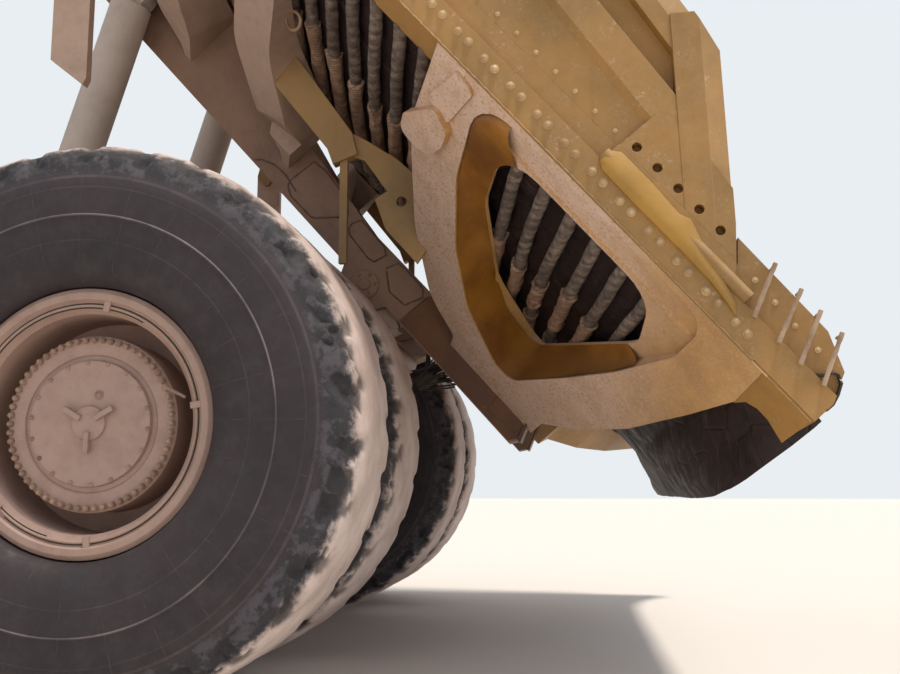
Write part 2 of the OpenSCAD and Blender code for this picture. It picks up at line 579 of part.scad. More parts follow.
module ceiling_cut(drop) {
    y1 = beam_in;
    along_x(-4000, 7000) polygon([[0, 3000], [0, arm_ceiling(0) - drop], [3000, arm_ceiling(3000) - drop],
        [y1, mat_edge_z - rope_d * 1.045 - 12 - drop], [y1, beam_under(y1) - seat - drop],
        [beam_y + 200, beam_under(beam_y + 200) - seat - drop], [beam_y + 200, 3000]]);
}
module rail_cut() { box([-4000, 0, -1000], [7000, rail_y + seat, 3000]); }
module ring_arms() {
    color(ochre) in_bed() both_sides() {
        difference() {
            slope_plane() linear_extrude(900) polygon(down(ring_outer));
            slope_plane() translate([0, 0, -1]) linear_extrude(902) polygon(down(ring_hole));
            ceiling_cut(0);
            rail_cut();
        }
        difference() {
            intersection() {
                slope_plane() linear_extrude(900) polygon(down(ring_outer));
                ceiling_cut(arm_plate);
            }
            ceiling_cut(0);
            rail_cut();
            translate([0, 0, 400]) linear_extrude(1200) polygon(rounded(bean));
        }
        // Boss and pad that stand out from the ring's face
        slope_plane() translate([0, 0, -70]) linear_extrude(75) polygon(down(ring_boss));
        slope_plane() translate([0, 0, -25]) linear_extrude(30) polygon(down(ring_pad));
    }
}
// Arch arms, which sweep back from the side beam to the rail, as [x, distance down the slope, radius]
arch_outer = [[1770, 0, 0], [1810, 1950, 900], [1400, 2830, 200], [1390, 3420, 0], [1540, 3060, 0], [1880, 2870, 300],
    [2290, 2150, 700], [2300, 0, 0]];
arch_places = [0, 1550, 3300];
module arch_arms() {
    color(tan_paint) in_bed() both_sides() for (x = arch_places) difference() {
        translate([x, 0, 0]) slope_plane() linear_extrude(900) polygon(down(arch_outer));
        ceiling_cut(0);
        rail_cut();
        // Room for the rear tyres when the body is down
        rod_y(bed_pivot_back, axle_z - bed_pivot_z, 1400, 4500, tyre_d / 2 + 50);
    }
}
side_z = beam_z + beam_h;
flange_z = beam_z + 215;
beam_end = front_wall_x - 79 - seat;
// Side beam: its section as [y, z], trimmed to its side outline
module side_beams() {
    color(ochre) in_bed() both_sides() {
        intersection() {
            along_x(-tail_x - 20, beam_end) polygon([[beam_in, beam_under(beam_in)], [beam_y, beam_z], [beam_y, flange_z],
                [beam_y - 50, flange_z], [beam_y - 50, side_z], [beam_in, side_z]]);
            along_y(beam_in - 1, beam_y + 1) polygon([[-tail_x - 21, 1000], [-tail_x - 21, 1710], [-tail_x + 60, 1890],
                [-tail_x + 75, side_z + 1], [beam_end + 1, side_z + 1], [beam_end + 1, 1000]]);
        }
        // Lower part of the gusset plate, and the half-round bar along it
        along_y(beam_y - 51, beam_y) polygon([[-1270, flange_z - 1], [-1270, side_z], [-2370, side_z], [-2510, flange_z - 1]]);
        translate([-2600, beam_y - 15, flange_z + 40]) rotate([0, 90, 0]) cylinder(r = 50, h = 1350, $fn = 32);
        // Tail extension web above the beam
        along_y(beam_y - 120, beam_y - 50) polygon([[-tail_x + 75, side_z - 1], [-3090, 2030], [-2260, 2050], [-2390, side_z - 1]]);
    }
}
// Outline of a side wall as [x, z]
wall_end = front_wall_x - 80;
wall_top = 2870 + (wall_end + 1250) * tan(8.75);
wall_side = [[-2370, side_z + seat], [-2185, 2095], [-1250, 2870], [wall_end, wall_top], [wall_end, side_z + seat]];
// Rib on the wall's outer face: its section as [y, z], rising forward from x and z
module rib(x, z, rise, run) { translate([x, 0, z]) rotate([0, -rise, 0]) along_x(0, run) children(); }
module side_walls() {
    face = beam_y - 121;
    color(ochre) in_bed() both_sides() difference() {
        intersection() {
            union() {
                box([-2600, beam_y - 180, 1700], [wall_end + 50, beam_y - 120, 4300]);
                // Web above the beam
                along_y(face, beam_y - 50) polygon([[-1300, 1700], [-1300, 2170], [wall_end + 50, 2955], [wall_end + 50, 1700]]);
                // Box rib, upper rail and corner post, which run past the outline and are trimmed to it
                rib(-1500, 2125, 6.2, 7600) polygon([[face, 0], [beam_y - 50, 0], [beam_y - 6, 50], [beam_y - 6, 275], [face, 275]]);
                rib(-1250, 2870, 8.75, 7400) polygon([[face, 55], [face + 5, 55], [beam_y - 9, -150], [beam_y - 9, -270], [face, -270]]);
                rib(-2416, 1904, 39.65, 1780) polygon([[face, 60], [beam_y - 102, 60], [beam_y, -130], [beam_y, -320], [face, -320]]);
                // Upper part of the gusset plate
                along_y(face, beam_y - 3) polygon([[-1270, 1700], [-1290, 2290], [-1700, 2290], [-2300, 2200], [-2500, 1700]]);
                for (x = [600:1250:front_wall_x - 700]) along_y(face, beam_y - 20) polygon([[x - 90, 2600], [x + 90, 2600],
                    [x + 90, 2950 + x * 0.15], [x - 90, 2950 + x * 0.15]]);
            }
            along_y(beam_y - 181, beam_y + 1) polygon(wall_side);
        }
        for (i = [0:4]) rod_y(-1369 - 196 * i, 1990, beam_y - 90, beam_y + 1, 33);
    }
}
mat_stations = [for (i = [-7:7]) i * mat_edge_y / 7];
// Cross-sections of the mat as [x, power of its curve, droop]
mat_x = [[front_wall_x - 240, 1.7, 0], [-2900, 1.7, 0], [-tail_x + 150, 4, mat_droop / 2], [-tail_x - mat_tail, 8, mat_droop]];
function mat_under(y, power, droop) =
    mat_mid_z - droop + (mat_edge_z - mat_mid_z + droop) * pow(abs(y) / mat_edge_y, power);
module rubber_mat() {
    n = len(mat_stations);
    pts = [for (s = mat_x) each concat([for (y = mat_stations) [s[0], y, mat_under(y, s[1], s[2])]],
        [for (i = [n - 1:-1:0]) [s[0], mat_stations[i], mat_under(mat_stations[i], s[1], s[2]) + mat_t]])];
    ring = 2 * n;
    sides = [for (k = [0:len(mat_x) - 2], i = [0:ring - 1])
        [k * ring + i, (k + 1) * ring + i, (k + 1) * ring + (i + 1) % ring, k * ring + (i + 1) % ring]];
    caps = [for (i = [0:n - 2]) each [[i, i + 1, ring - 2 - i, ring - 1 - i],
        let (o = (len(mat_x) - 1) * ring) [o + i + 1, o + i, o + ring - 1 - i, o + ring - 2 - i]]];
    color("#241e20") in_bed() polyhedron(points = pts, faces = concat(sides, caps));
}
// Ropes that run under the mat from beam to beam, one solid each
rope_x0 = -2387;
rope_n = floor((front_wall_x - 700 - rope_x0) / rope_pitch);
rope_stations = mat_stations;
module rope(x) {
    drop = rope_d / 2 * 1.05 + seat;
    pts = [for (y = rope_stations) for (a = [0:60:300])
        [x + rope_d / 2 * cos(a), y, mat_z(y) - drop + rope_d / 2 * sin(a)]];
    sides = [for (k = [0:len(rope_stations) - 2], i = [0:5])
        [k * 6 + i, k * 6 + (i + 1) % 6, (k + 1) * 6 + (i + 1) % 6, (k + 1) * 6 + i]];
    last = (len(rope_stations) - 1) * 6;
    polyhedron(points = pts, faces = concat(sides, [[5, 4, 3, 2, 1, 0], [for (i = [0:5]) last + i]]));
}
module ropes() { color("#7d6f63") in_bed() for (i = [0:rope_n]) rope(rope_x0 + i * rope_pitch); }
module front_wall() {
    color(ochre) in_bed() {
        box([front_wall_x - 79, -beam_y + 180 + seat, 900], [front_wall_x + 21, beam_y - 180 - seat, 3950]);
        for (y = [-3000:1000:3000]) along_y(y - 70, y + 70) polygon([[front_wall_x + 20, 800], [front_wall_x + 20, 3949], [front_wall_x + 240, 3949], [front_wall_x + 160, 800]]);
    }
}
module canopy() {
    color(ochre) in_bed() {
        along_y(-beam_y + 60, beam_y - 60) polygon([[front_wall_x - 79, 3950 + seat], [front_wall_x - 79, 4060], [canopy_x - 150, 4160], [canopy_x, 4110], [canopy_x, 4010], [canopy_x - 150, 4050]]);
        for (y = [-3900:1300:3900]) along_y(y - 50, y + 50) polygon([[front_wall_x - 60, 4059], [front_wall_x - 60, 4200], [canopy_x - 200, 4260], [canopy_x - 160, 4155]]);
    }
}
tie_y = 2050;
module bed_braces() {
    color("#b89a5e") in_bed() both_sides() {
        // Tie from the rear arch arm, and the holed gusset that joins it to the ring arm
        difference() {
            union() {
                along_y(tie_y - 60, tie_y + 60) polygon([[1850, 635], [1850, 950], [860, 835], [680, 740], [760, 520], [910, 580]]);
                along_y(tie_y - 20, tie_y + 20) polygon([[700, 700], [880, 830], [720, 885], [420, 965], [235, 985], [-300, 985],
                    [-420, 470], [0, 470], [270, 580], [250, 710], [600, 750]]);
            }
            rod_y(90, 740, tie_y - 21, tie_y + 21, 45);
            for (gap = [0, seat]) {
                translate([-gap, 0, 0]) slope_plane() linear_extrude(900) polygon(down(arch_outer));
                translate([gap, 0, 0]) slope_plane() linear_extrude(900) polygon(down(ring_outer));
            }
        }
        // Bar that hangs upright from the tie
        rotate([0, bed_angle, 0]) translate([-5, tie_y - 30, 20]) cube([70, 60, 950]);
        // Hangers that slant from an arch arm to the ejectors between the rear tyres, cut along the arms' slope
        difference() {
            translate([ejector_x, dual_y, 0]) {
                for (y = [-83, 53]) along_y(y, y + 30) polygon(rounded([[-110, ejector_z - 110, 60], [110, ejector_z - 110, 60],
                    [1050, 1200, 0], [560, 1200, 0]], 4));
                rod_y(0, ejector_z, -83, 83, 50);
            }
            slope_plane() translate([-9000, -6000, -seat]) cube([19000, 9000, 3000]);
        }
    }
}
// Ejector that hangs between the tyres of a pair, from its bracket on the body
ejector_x = 3200;
ejector_z = -50;
ejector_top = bed_pivot_z + ejector_x * sin(bed_angle) + ejector_z * cos(bed_angle);
ejector_wx = bed_pivot_x + ejector_x * cos(bed_angle) - ejector_z * sin(bed_angle);
module ejector(side) {
    color(tan_paint) on_side(side) translate([ejector_wx, dual_y, ejector_top]) {
        difference() {
            along_y(-45, 45) polygon([[-160, 60], [-60, 140], [60, 140], [160, 60], [160, -730], [-130, -960], [-160, -900]]);
            rod_y(0, 0, -50, 50, 50 + play);
        }
    }
}

// Hoists: barrel on the body, one middle stage and the rod, along one line from pin to pin
hoist_top = [bed_pivot_x + hoist_top_x * cos(bed_angle) - hoist_top_z * sin(bed_angle), 0,
    bed_pivot_z + hoist_top_x * sin(bed_angle) + hoist_top_z * cos(bed_angle)];
hoist_foot = [rear_x + hoist_foot_x, 0, hoist_foot_z];
hoist_len = norm(hoist_top - hoist_foot);
hoist_lean = atan2(hoist_foot[0] - hoist_top[0], hoist_top[2] - hoist_foot[2]);
barrel_l = 1950;
stage_l = barrel_l - 270;
rod_l = 1940;
hoist_short = norm([bed_pivot_x + hoist_top_x, bed_pivot_z + hoist_top_z] - [hoist_foot[0], hoist_foot[2]]);
stroke = (hoist_len - hoist_short) / 2;
module on_hoist(side) {
    on_side(side) translate([hoist_top[0], hoist_y, hoist_top[2]]) rotate([0, 180 - hoist_lean, 0]) children();
}
module hoist_barrel(side) {
    color(tan_paint) on_hoist(side) difference() {
        union() {
            translate([0, 0, 150]) cylinder(d = hoist_d, h = barrel_l - 150, $fn = 48);
            rod_y(0, 0, -110, 110, 190);
            box([-150, -105, 0], [150, 105, 200]);
        }
        rod_y(0, 0, -111, 111, 90 + play);
        translate([0, 0, 250]) cylinder(r = 160, h = barrel_l, $fn = 48);
    }
}
module hoist_stage(side) {
    color(steel) on_hoist(side) translate([0, 0, barrel_l + stroke - stage_l]) difference() {
        cylinder(r = 160 - play, h = stage_l, $fn = 48);
        translate([0, 0, 60]) cylinder(r = 120, h = stage_l, $fn = 48);
    }
}
module hoist_rod(side) {
    color(steel) on_hoist(side) difference() {
        union() {
            translate([0, 0, hoist_len - rod_l]) cylinder(r = 120 - play, h = rod_l - 100, $fn = 48);
            translate([0, 0, hoist_len]) rod_y(0, 0, -90, 90, 150);
        }
    }
}

// Steering
arm_z = axle_z - 300 - 120;
tie_drop = 75;
module knuckle(side) {
    color(tan_paint) on_side(side) translate([front_x, kingpin_y, 0]) {
        translate([0, 0, axle_z - 300]) cylinder(r = 230, h = 620, $fn = 48);
        translate([0, 0, axle_z + 300]) cylinder(r = strut_bore, h = strut_low + 300 - axle_z - 300, $fn = 48);
        rod_y(0, axle_z, 100, front_hub_back + spindle_in - kingpin_y, spindle_r);
        box([-steer_arm + 60, -110, arm_z], [60, 110, arm_z + 121]);
        translate([-steer_arm, 0, arm_z]) cylinder(r = 130, h = 121, $fn = 32);
        translate([-steer_arm, 0, arm_z - tie_drop - 60]) cylinder(r = 45, h = tie_drop + 70, $fn = 32);
    }
}
module tie_rod() {
    color(steel) translate([front_x - steer_arm, 0, arm_z - tie_drop]) {
        difference() {
            union() {
                rod_y(0, 0, -kingpin_y + 90, kingpin_y - 90, 55);
                both_sides() translate([0, kingpin_y, -60]) cylinder(r = 110, h = 120, $fn = 32);
            }
            both_sides() translate([0, kingpin_y, -70]) cylinder(r = 45 + play, h = 140, $fn = 32);
        }
    }
}
steer_hold = 400;
steer_z = axle_z - 300 - 120 - 60;
steer_y0 = 560;
steer_y1 = kingpin_y - 50;
module steer_barrel(side) {
    color(tan_paint) on_side(side) translate([front_x - steer_hold, 0, steer_z]) {
        difference() {
            union() {
                translate([0, steer_y0, -50]) cylinder(r = 85, h = 100, $fn = 32);
                rod_y(0, 0, steer_y0 + 60, steer_y0 + 900, steer_d / 2);
            }
            translate([0, steer_y0, -51]) cylinder(r = 40 + play, h = 300, center = true, $fn = 32);
            rod_y(0, 0, steer_y0 + 200, steer_y0 + 901, 60 + play);
        }
    }
}
module steer_rod(side) {
    color(steel) on_side(side) translate([front_x - steer_hold, 0, steer_z]) {
        rod_y(0, 0, steer_y0 + 620, steer_y1 - 60, 60);
        translate([0, steer_y1, -40]) cylinder(r = 85, h = 80, $fn = 32);
    }
}

main_frame();
front_collar();
front_bumper();
rear_axle();
rear_struts();
front_struts();
engine_block();
radiator();
fuel_tank();
hydraulic_tank();
deck();
handrails();
cab_shell();
cab_glass();
cab_seat();
cab_console();
control_cabinet();
grid_box();
ladders();
headlamps();
mirrors();
air_cleaners();
cab_door();
door_glass();
bed_rails();
ring_arms();
arch_arms();
side_beams();
side_walls();
rubber_mat();
ropes();
front_wall();
canopy();
bed_braces();
ejector(1);  // ejector_left
ejector(-1);  // ejector_right
hoist_barrel(1);  // hoist_barrel_left
hoist_barrel(-1);  // hoist_barrel_right
hoist_stage(1);  // hoist_stage_left
hoist_stage(-1);  // hoist_stage_right
hoist_rod(1);  // hoist_rod_left
hoist_rod(-1);  // hoist_rod_right
knuckle(1);  // knuckle_left
knuckle(-1);  // knuckle_right
tie_rod();
steer_barrel(1);  // steer_barrel_left
steer_barrel(-1);  // steer_barrel_right
steer_rod(1);  // steer_rod_left
steer_rod(-1);  // steer_rod_right
tyre_front(1);  // tyre_front_left
tyre_front(-1);  // tyre_front_right
tyres_rear(1);  // tyres_rear_left
tyres_rear(-1);  // tyres_rear_right
rim_front(1);  // rim_front_left
rim_front(-1);  // rim_front_right
rims_rear(1);  // rims_rear_left
rims_rear(-1);  // rims_rear_right
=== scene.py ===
# %% [markdown]
# # A mining dump truck with a suspended rubber mat body
# The truck stands parked with its body raised. The solids come ready made, and this script gives them the
# finish of a machine that has hauled rock for years: faded ochre paint under pale dust, worn tyres, scuffed
# rubber and dull steel. It also adds the bolts, sleeves and hoses that are too small for the solids. Every
# finish is worked out from patterns, so nothing has to be unwrapped and it stays sharp from close by.

import json
import math
import random

import bmesh
import bpy
from mathutils import Matrix, Vector, noise


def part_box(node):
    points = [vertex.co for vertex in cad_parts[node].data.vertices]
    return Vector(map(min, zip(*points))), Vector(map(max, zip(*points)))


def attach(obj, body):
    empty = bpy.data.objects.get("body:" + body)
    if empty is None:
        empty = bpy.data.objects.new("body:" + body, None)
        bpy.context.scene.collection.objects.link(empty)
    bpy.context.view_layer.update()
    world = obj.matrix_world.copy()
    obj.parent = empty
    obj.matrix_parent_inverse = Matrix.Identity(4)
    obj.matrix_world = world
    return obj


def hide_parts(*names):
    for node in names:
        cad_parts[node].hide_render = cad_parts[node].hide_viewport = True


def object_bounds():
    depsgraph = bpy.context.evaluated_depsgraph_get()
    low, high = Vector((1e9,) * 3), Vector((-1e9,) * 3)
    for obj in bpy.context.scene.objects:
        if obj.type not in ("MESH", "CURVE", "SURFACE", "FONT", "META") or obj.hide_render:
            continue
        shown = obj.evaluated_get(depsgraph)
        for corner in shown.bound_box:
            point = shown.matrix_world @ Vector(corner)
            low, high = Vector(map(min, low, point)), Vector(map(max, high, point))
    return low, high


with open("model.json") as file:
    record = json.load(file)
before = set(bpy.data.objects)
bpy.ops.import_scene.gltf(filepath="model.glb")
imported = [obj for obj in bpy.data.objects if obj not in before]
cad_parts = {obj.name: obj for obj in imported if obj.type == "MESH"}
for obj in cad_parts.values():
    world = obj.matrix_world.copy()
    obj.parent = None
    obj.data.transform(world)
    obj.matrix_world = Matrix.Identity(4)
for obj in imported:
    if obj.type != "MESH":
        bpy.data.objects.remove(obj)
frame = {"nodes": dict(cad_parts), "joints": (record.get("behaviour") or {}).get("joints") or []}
cad_low, cad_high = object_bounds()
nodes = frame["nodes"]
joints = {joint["name"]: joint for joint in frame["joints"]}


def metres(values):
    """Lengths rounded to the centimetre, for printing."""
    return [round(float(v), 2) for v in values]


print("solids:", len(nodes), "from", metres(cad_low), "to", metres(cad_high))

# %% [markdown]
# ## The camera
# The photograph was taken from beside the rear wheel at chest height, looking slightly up and a little to
# the front. The focal length, height and angles were worked out from the round tyres and the straight row
# of bolts, so every piece falls where the photograph shows it. A camera can be aimed by eye or by a
# constraint, but three measured directions in one matrix give the same view each time.

# %% Camera
REAR_AXLE = Vector(joints["wheel_spin_rear_left"]["pos_m"])
FRONT_AXLE = Vector(joints["wheel_spin_front_left"]["pos_m"])
PIVOT = Vector(joints["bed_tip"]["pos_m"])
PHOTO_W = 900
FOCAL_PX = 1050
YAW, PITCH = math.radians(6.32), math.radians(8.25)
EYE = Vector((REAR_AXLE.x - 3.20, 10.93, 1.47))

forward = Vector((math.sin(YAW) * math.cos(PITCH), -math.cos(YAW) * math.cos(PITCH), math.sin(PITCH)))
right = Vector((-math.cos(YAW), -math.sin(YAW), 0))
camera = bpy.data.objects.new("camera", bpy.data.cameras.new("camera"))
camera.data.sensor_width = 36
camera.data.lens = FOCAL_PX * camera.data.sensor_width / PHOTO_W
camera.data.clip_start, camera.data.clip_end = 0.1, 500
camera.matrix_world = Matrix((right, right.cross(forward), -forward)).transposed().to_4x4()
camera.location = EYE
bpy.context.collection.objects.link(camera)
bpy.context.scene.camera = camera
print("camera lens", round(camera.data.lens, 1), "mm at", metres(EYE))

# %% [markdown]
# ## Small helpers for finishes
# Colours are written as sRGB hex, as a paint chart gives them, and one function turns them to the linear
# numbers that shaders use. Another adds a shader node with its settings and links, so that each material
# reads as a list of steps. The last two do what every finish here needs: they lay thin coats of colour over
# one another through a pattern, and close a finish with its relief and its surface.

# %% Colours, nodes and a new material
def srgb(text):
    """An sRGB hex colour as the linear red, green, blue and alpha of a shader socket."""
    values = [int(text[i:i + 2], 16) / 255 for i in (1, 3, 5)]
    return [v / 12.92 if v <= 0.04045 else ((v + 0.055) / 1.055) ** 2.4 for v in values] + [1]


def put(tree, kind, inputs=(), out=0, **settings):
    """Add a shader node and give back one of its outputs. inputs is a list for the sockets in use, in their
    order, or a table by socket name, and each holds a value or the output that feeds it."""
    node = tree.nodes.new("ShaderNode" + kind)
    for key, value in settings.items():
        setattr(node, key, value)
    in_use = [socket for socket in node.inputs if socket.enabled]
    for key, value in inputs.items() if isinstance(inputs, dict) else zip(in_use, inputs):
        socket = node.inputs[key] if isinstance(key, str) else key
        if isinstance(value, bpy.types.NodeSocket):
            tree.links.new(value, socket)
        else:
            socket.default_value = value
    if isinstance(out, str):
        return node.outputs[out]
    given = [socket for socket in node.outputs if socket.enabled]
    return given[out] if given else None


def start_finish(name):
    """A new empty material, a short way to add its nodes, and the object's own coordinates in metres."""
    material = bpy.data.materials.new(name)
    material.use_nodes = True
    tree = material.node_tree
    tree.nodes.clear()

    def add(kind, inputs=(), out=0, **settings):
        return put(tree, kind, inputs, out, **settings)
    return material, add, add("TexCoord", out="Object")


SOFT = {"interpolation_type": "SMOOTHSTEP"}
COLOUR = {"data_type": "RGBA"}
TIMES, PLUS, LESS = {"operation": "MULTIPLY"}, {"operation": "ADD"}, {"operation": "SUBTRACT"}
MM = 0.001
print("helpers ready")

# %% Coats of colour, and the end of a finish
def coats(add, colour, *layers):
    """Lay layers of colour over one another. Each is a pattern, its values where the layer starts and where
    it is full, how much of the layer shows at each of the two, and its colour."""
    for pattern, start, full, least, most, over in layers:
        share = add("MapRange", [pattern, start, full, least, most], **SOFT)
        colour = add("Mix", [share, colour, srgb(over)], **COLOUR)
    return colour


def end_finish(add, relief, look):
    """Close a finish: relief says how strong, deep and high its bump is, and look is its surface."""
    add("OutputMaterial", [add("BsdfPrincipled", {**look, "Normal": add("Bump", relief)})])


print("coats ready")

# %% [markdown]
# ## Painted steel
# The frame and body are welded plate, sprayed with a thick ochre enamel. The enamel fades, pale dust settles
# on every face that looks up or outward, and mud splashed by the wheels dries to small crusts. Faces inside
# the arms, which rain and dust don't reach, keep their colour. A painted picture could show this, but each
# plate would have to be unwrapped. Here the dust follows the direction that a face looks in, so one
# function serves every plate.

# %% Where dust lies and splash reaches
BED_ANGLE = math.radians(48)
# The wheels throw nothing past DIRTY_X, so the underside of the tail is clean from CLEAN_X on
DIRTY_X, CLEAN_X = -5.55, -6.30


def dust_and_splash(add, place, blots, cover, under):
    """How much dust covers a face, and how much splash can reach it, from the way that it looks."""
    looks = add("VectorTransform", [add("NewGeometry", out="Normal")], vector_type="NORMAL",
                convert_from="WORLD", convert_to="OBJECT")
    axes = add("SeparateXYZ", [looks]).node.outputs
    outward = add("Math", [axes["Y"], axes["Y"]], **TIMES)
    bed_down = (math.sin(BED_ANGLE), 0, -math.cos(BED_ANGLE))
    down = add("VectorMath", [looks, bed_down], out="Value", operation="DOT_PRODUCT")

    lying = add("MapRange", [axes["Z"], -0.15, 0.75, 0.0, 0.5], **SOFT)
    facing = add("MapRange", [outward, 0.2, 0.9, 0.0, 0.22], **SOFT)
    from_tail = add("MapRange", [add("SeparateXYZ", [place]), CLEAN_X, DIRTY_X, 0.18, 1.0], **SOFT)
    clinging = add("MapRange", [down, 0.60, 0.84, 0.0, under], **SOFT)
    clinging = add("Math", [clinging, from_tail], **TIMES)
    dusty = add("Math", [add("Math", [lying, facing], **PLUS), clinging], **PLUS)
    dusty = add("Math", [dusty, cover], **PLUS)
    dusty = add("Math", [dusty, add("MapRange", [blots, 0.30, 0.62, 0.55, 1.1], **SOFT)], **TIMES)
    thrown = add("MapRange", [outward, 0.1, 0.6, 0.2, 0.45], **SOFT)
    return add("Clamp", [dusty]), add("Math", [thrown, clinging], operation="MAXIMUM")


print("dust follows a body raised by", round(math.degrees(BED_ANGLE)), "degrees")

# %% Painted steel
def painted_steel(name, paint, deep, dust, cover, crusts, under=0.0):
    """Sprayed enamel on welded plate. cover is how much dust lies on it, crusts how much dried mud, and
    under how much of both clings to the faces that look down from the raised body."""
    material, add, place = start_finish(name)
    # Clouds 0.9 m wide, streaks 110 mm wide that run down the plates, blots of 170 mm, chips of 48 mm,
    # lumps of 24 mm, and the grain of the spray, drawn at 12 mm so that it shows
    clouds = add("TexNoise", [place, 1.1, 8.0, 0.62])
    streaks = add("TexNoise", [add("Mapping", {"Vector": place, "Scale": (9.0, 9.0, 0.9)}), 1.0, 5.0, 0.6])
    blots = add("TexNoise", [place, 6.0, 7.0, 0.72])
    chips = add("TexNoise", [place, 21.0, 7.0, 0.75])
    lumps = add("TexNoise", [place, 1 / (24 * MM), 4.0, 0.62])
    grain = add("TexNoise", [place, 1 / (12 * MM), 4.0, 0.7])

    dusty, reach = dust_and_splash(add, place, blots, cover, under)
    coat = coats(add, srgb(deep), (clouds, 0.36, 0.62, 0, 1, paint), (streaks, 0.54, 0.76, 0, 0.4, deep))
    coat = add("Mix", [dusty, coat, srgb(dust)], **COLOUR)
    coat = coats(add, coat, (grain, 0.35, 0.75, 0, 0.22, dust))
    # Dried mud in clusters, as pale lumps with darker pits between them, and chips down to the primer
    cluster = add("MapRange", [blots, 0.66 - 0.28 * crusts, 0.80 - 0.28 * crusts], **SOFT)
    cluster = add("Math", [cluster, reach], **TIMES)
    spots = add("Math", [add("MapRange", [lumps, 0.53, 0.66], **SOFT), cluster], **TIMES)
    pits = add("Math", [add("MapRange", [lumps, 0.45, 0.36], **SOFT), cluster], **TIMES)
    bare = add("MapRange", [chips, 0.675, 0.70], **SOFT)
    for where, share, colour in ((spots, 0.75, "#dfc9b4"), (pits, 0.65, deep), (bare, 0.8, "#553423")):
        coat = add("Mix", [add("Math", [where, share], **TIMES), coat, srgb(colour)], **COLOUR)

    rough = add("Math", [add("Math", [grain, 0.22], **TIMES), add("Math", [dusty, 0.24], **TIMES)], **PLUS)
    rough = add("Math", [rough, 0.40], **PLUS)
    relief = add("Math", [add("Math", [grain, 0.35], **TIMES), spots], **PLUS)
    relief = add("Math", [relief, add("Math", [bare, 0.5], **TIMES)], **LESS)
    edges = add("Bevel", {"Radius": 8 * MM}, samples=3)
    end_finish(add, {"Strength": 0.6, "Distance": 4 * MM, "Height": relief, "Normal": edges},
               {"Base Color": coat, "Roughness": rough, "IOR": 1.5})
    return material


ochre_plate = painted_steel("ochre enamel on welded plate", "#a47732", "#825f23", "#b4946b", 0.06, 0.5)
ochre_clean = painted_steel("ochre enamel inside the arms", "#a26c1d", "#744612", "#946c40", -0.22, 0.15)
arm_plate = painted_steel("arm enamel under wheel splash", "#c99a53", "#a67b3d", "#dfc1ac", -0.06, 1.15, 1.0)
dusty_plate = painted_steel("enamel under pit dust", "#b39276", "#937464", "#c8af9f", 0.34, 0.5, 0.3)
rail_plate = painted_steel("rail enamel under brown dust", "#86644b", "#60402f", "#a0826f", 0.22, 0.3, 0.2)
hoist_enamel = painted_steel("hoist enamel under pale dust", "#c6b5a8", "#a99a8e", "#d2c6bc", 0.45, 0.1)
tie_enamel = painted_steel("olive enamel on the ties", "#a67f42", "#7f6230", "#ac8f6c", 0.04, 0.1)
wheel_paint = painted_steel("wheel enamel under pit dust", "#a78a75", "#8b6e60", "#b59a8e", 0.46, 0.15)
rail_enamel = painted_steel("bright safety enamel", "#b58426", "#8f6718", "#b99a62", -0.06, 0.2)
# Darker ochre for the plates at the rails' tails: painted shade
tail_enamel_painted_shade = painted_steel("ochre enamel in shade", "#6f4012", "#4b2a0c", "#6f4724", -0.14, 0.2)
black_enamel = painted_steel("black stove enamel", "#24221e", "#161513", "#5f544a", -0.25, 0.1)
print("painted finishes:", [m.name for m in (ochre_plate, ochre_clean, arm_plate, dusty_plate, wheel_paint)])

# %% [markdown]
# ## Other metals
# The hoists' inner tubes and rods are ground and chrome plated, so they are smooth and show fine lines round
# the rod. The engine is sand-cast iron under old paint and oil, with a coarse skin. Bolts and nuts are
# forged and zinc plated, with dust in their corners, so they share the iron's function with other colours.

# %% Ground rods, cast iron and bolts
def ground_rod(name):
    """Chrome-plated rod, ground round its length: bright, with faint lines and a film of dust."""
    material, add, place = start_finish(name)
    # Real grinding lines are finer than a hair, so they are drawn 4 mm apart
    lines = add("TexNoise", [add("Mapping", {"Vector": place, "Scale": (30.0, 30.0, 260.0)}), 1.0, 3.0])
    film = add("TexNoise", [place, 2.2, 7.0, 0.65])
    colour = coats(add, srgb("#b4b1aa"), (film, 0.42, 0.68, 0.15, 0.75, "#9c8d7a"))
    rough = add("MapRange", [film, 0.40, 0.66, 0.24, 0.62], **SOFT)
    end_finish(add, {"Strength": 0.12, "Distance": 0.4 * MM, "Height": lines},
               {"Base Color": colour, "Metallic": 1.0, "Roughness": rough})
    return material


def cast_iron(name, colour, dirt, metal=0.25):
    """Sand-cast or forged iron under old paint: a coarse 9 mm grain with oil and dust in it."""
    material, add, place = start_finish(name)
    sand = add("TexNoise", [place, 1 / (9 * MM), 4.0, 0.7])
    oil = add("TexNoise", [place, 3.7, 7.0, 0.65])
    shade = coats(add, srgb(colour), (oil, 0.38, 0.66, 0, 1, dirt))
    rough = add("MapRange", [oil, 0.35, 0.65, 0.42, 0.85], **SOFT)
    end_finish(add, {"Strength": 0.5, "Distance": 1.5 * MM, "Height": sand},
               {"Base Color": shade, "Metallic": metal, "Roughness": rough})
    return material


rod_steel = ground_rod("ground and chromed rod")
engine_iron = cast_iron("painted cast iron", "#5d5c54", "#3a332c")
bolt_steel = cast_iron("zinc plated bolt steel under dust", "#c9ac80", "#a98a62", 0.15)
stud_steel = cast_iron("forged wheel nut", "#ab8d7b", "#846e60", 0.15)
pin_steel = cast_iron("rolled bar with mill scale", "#94795f", "#bda68d", 0.2)
# Dark iron for the torn wires, and painted shade for the lines of the lock ring's split
dark_iron_and_split_shade = cast_iron("dark iron in shade", "#2c2724", "#4b4038", 0.2)
# The welds are darker than the rail: painted shade of the grooves along them
weld_groove_shade = cast_iron("weld seam with painted groove shade", "#735745", "#5c4535", 0.05)
print("metals:", rod_steel.name, "/", engine_iron.name, "/", bolt_steel.name)

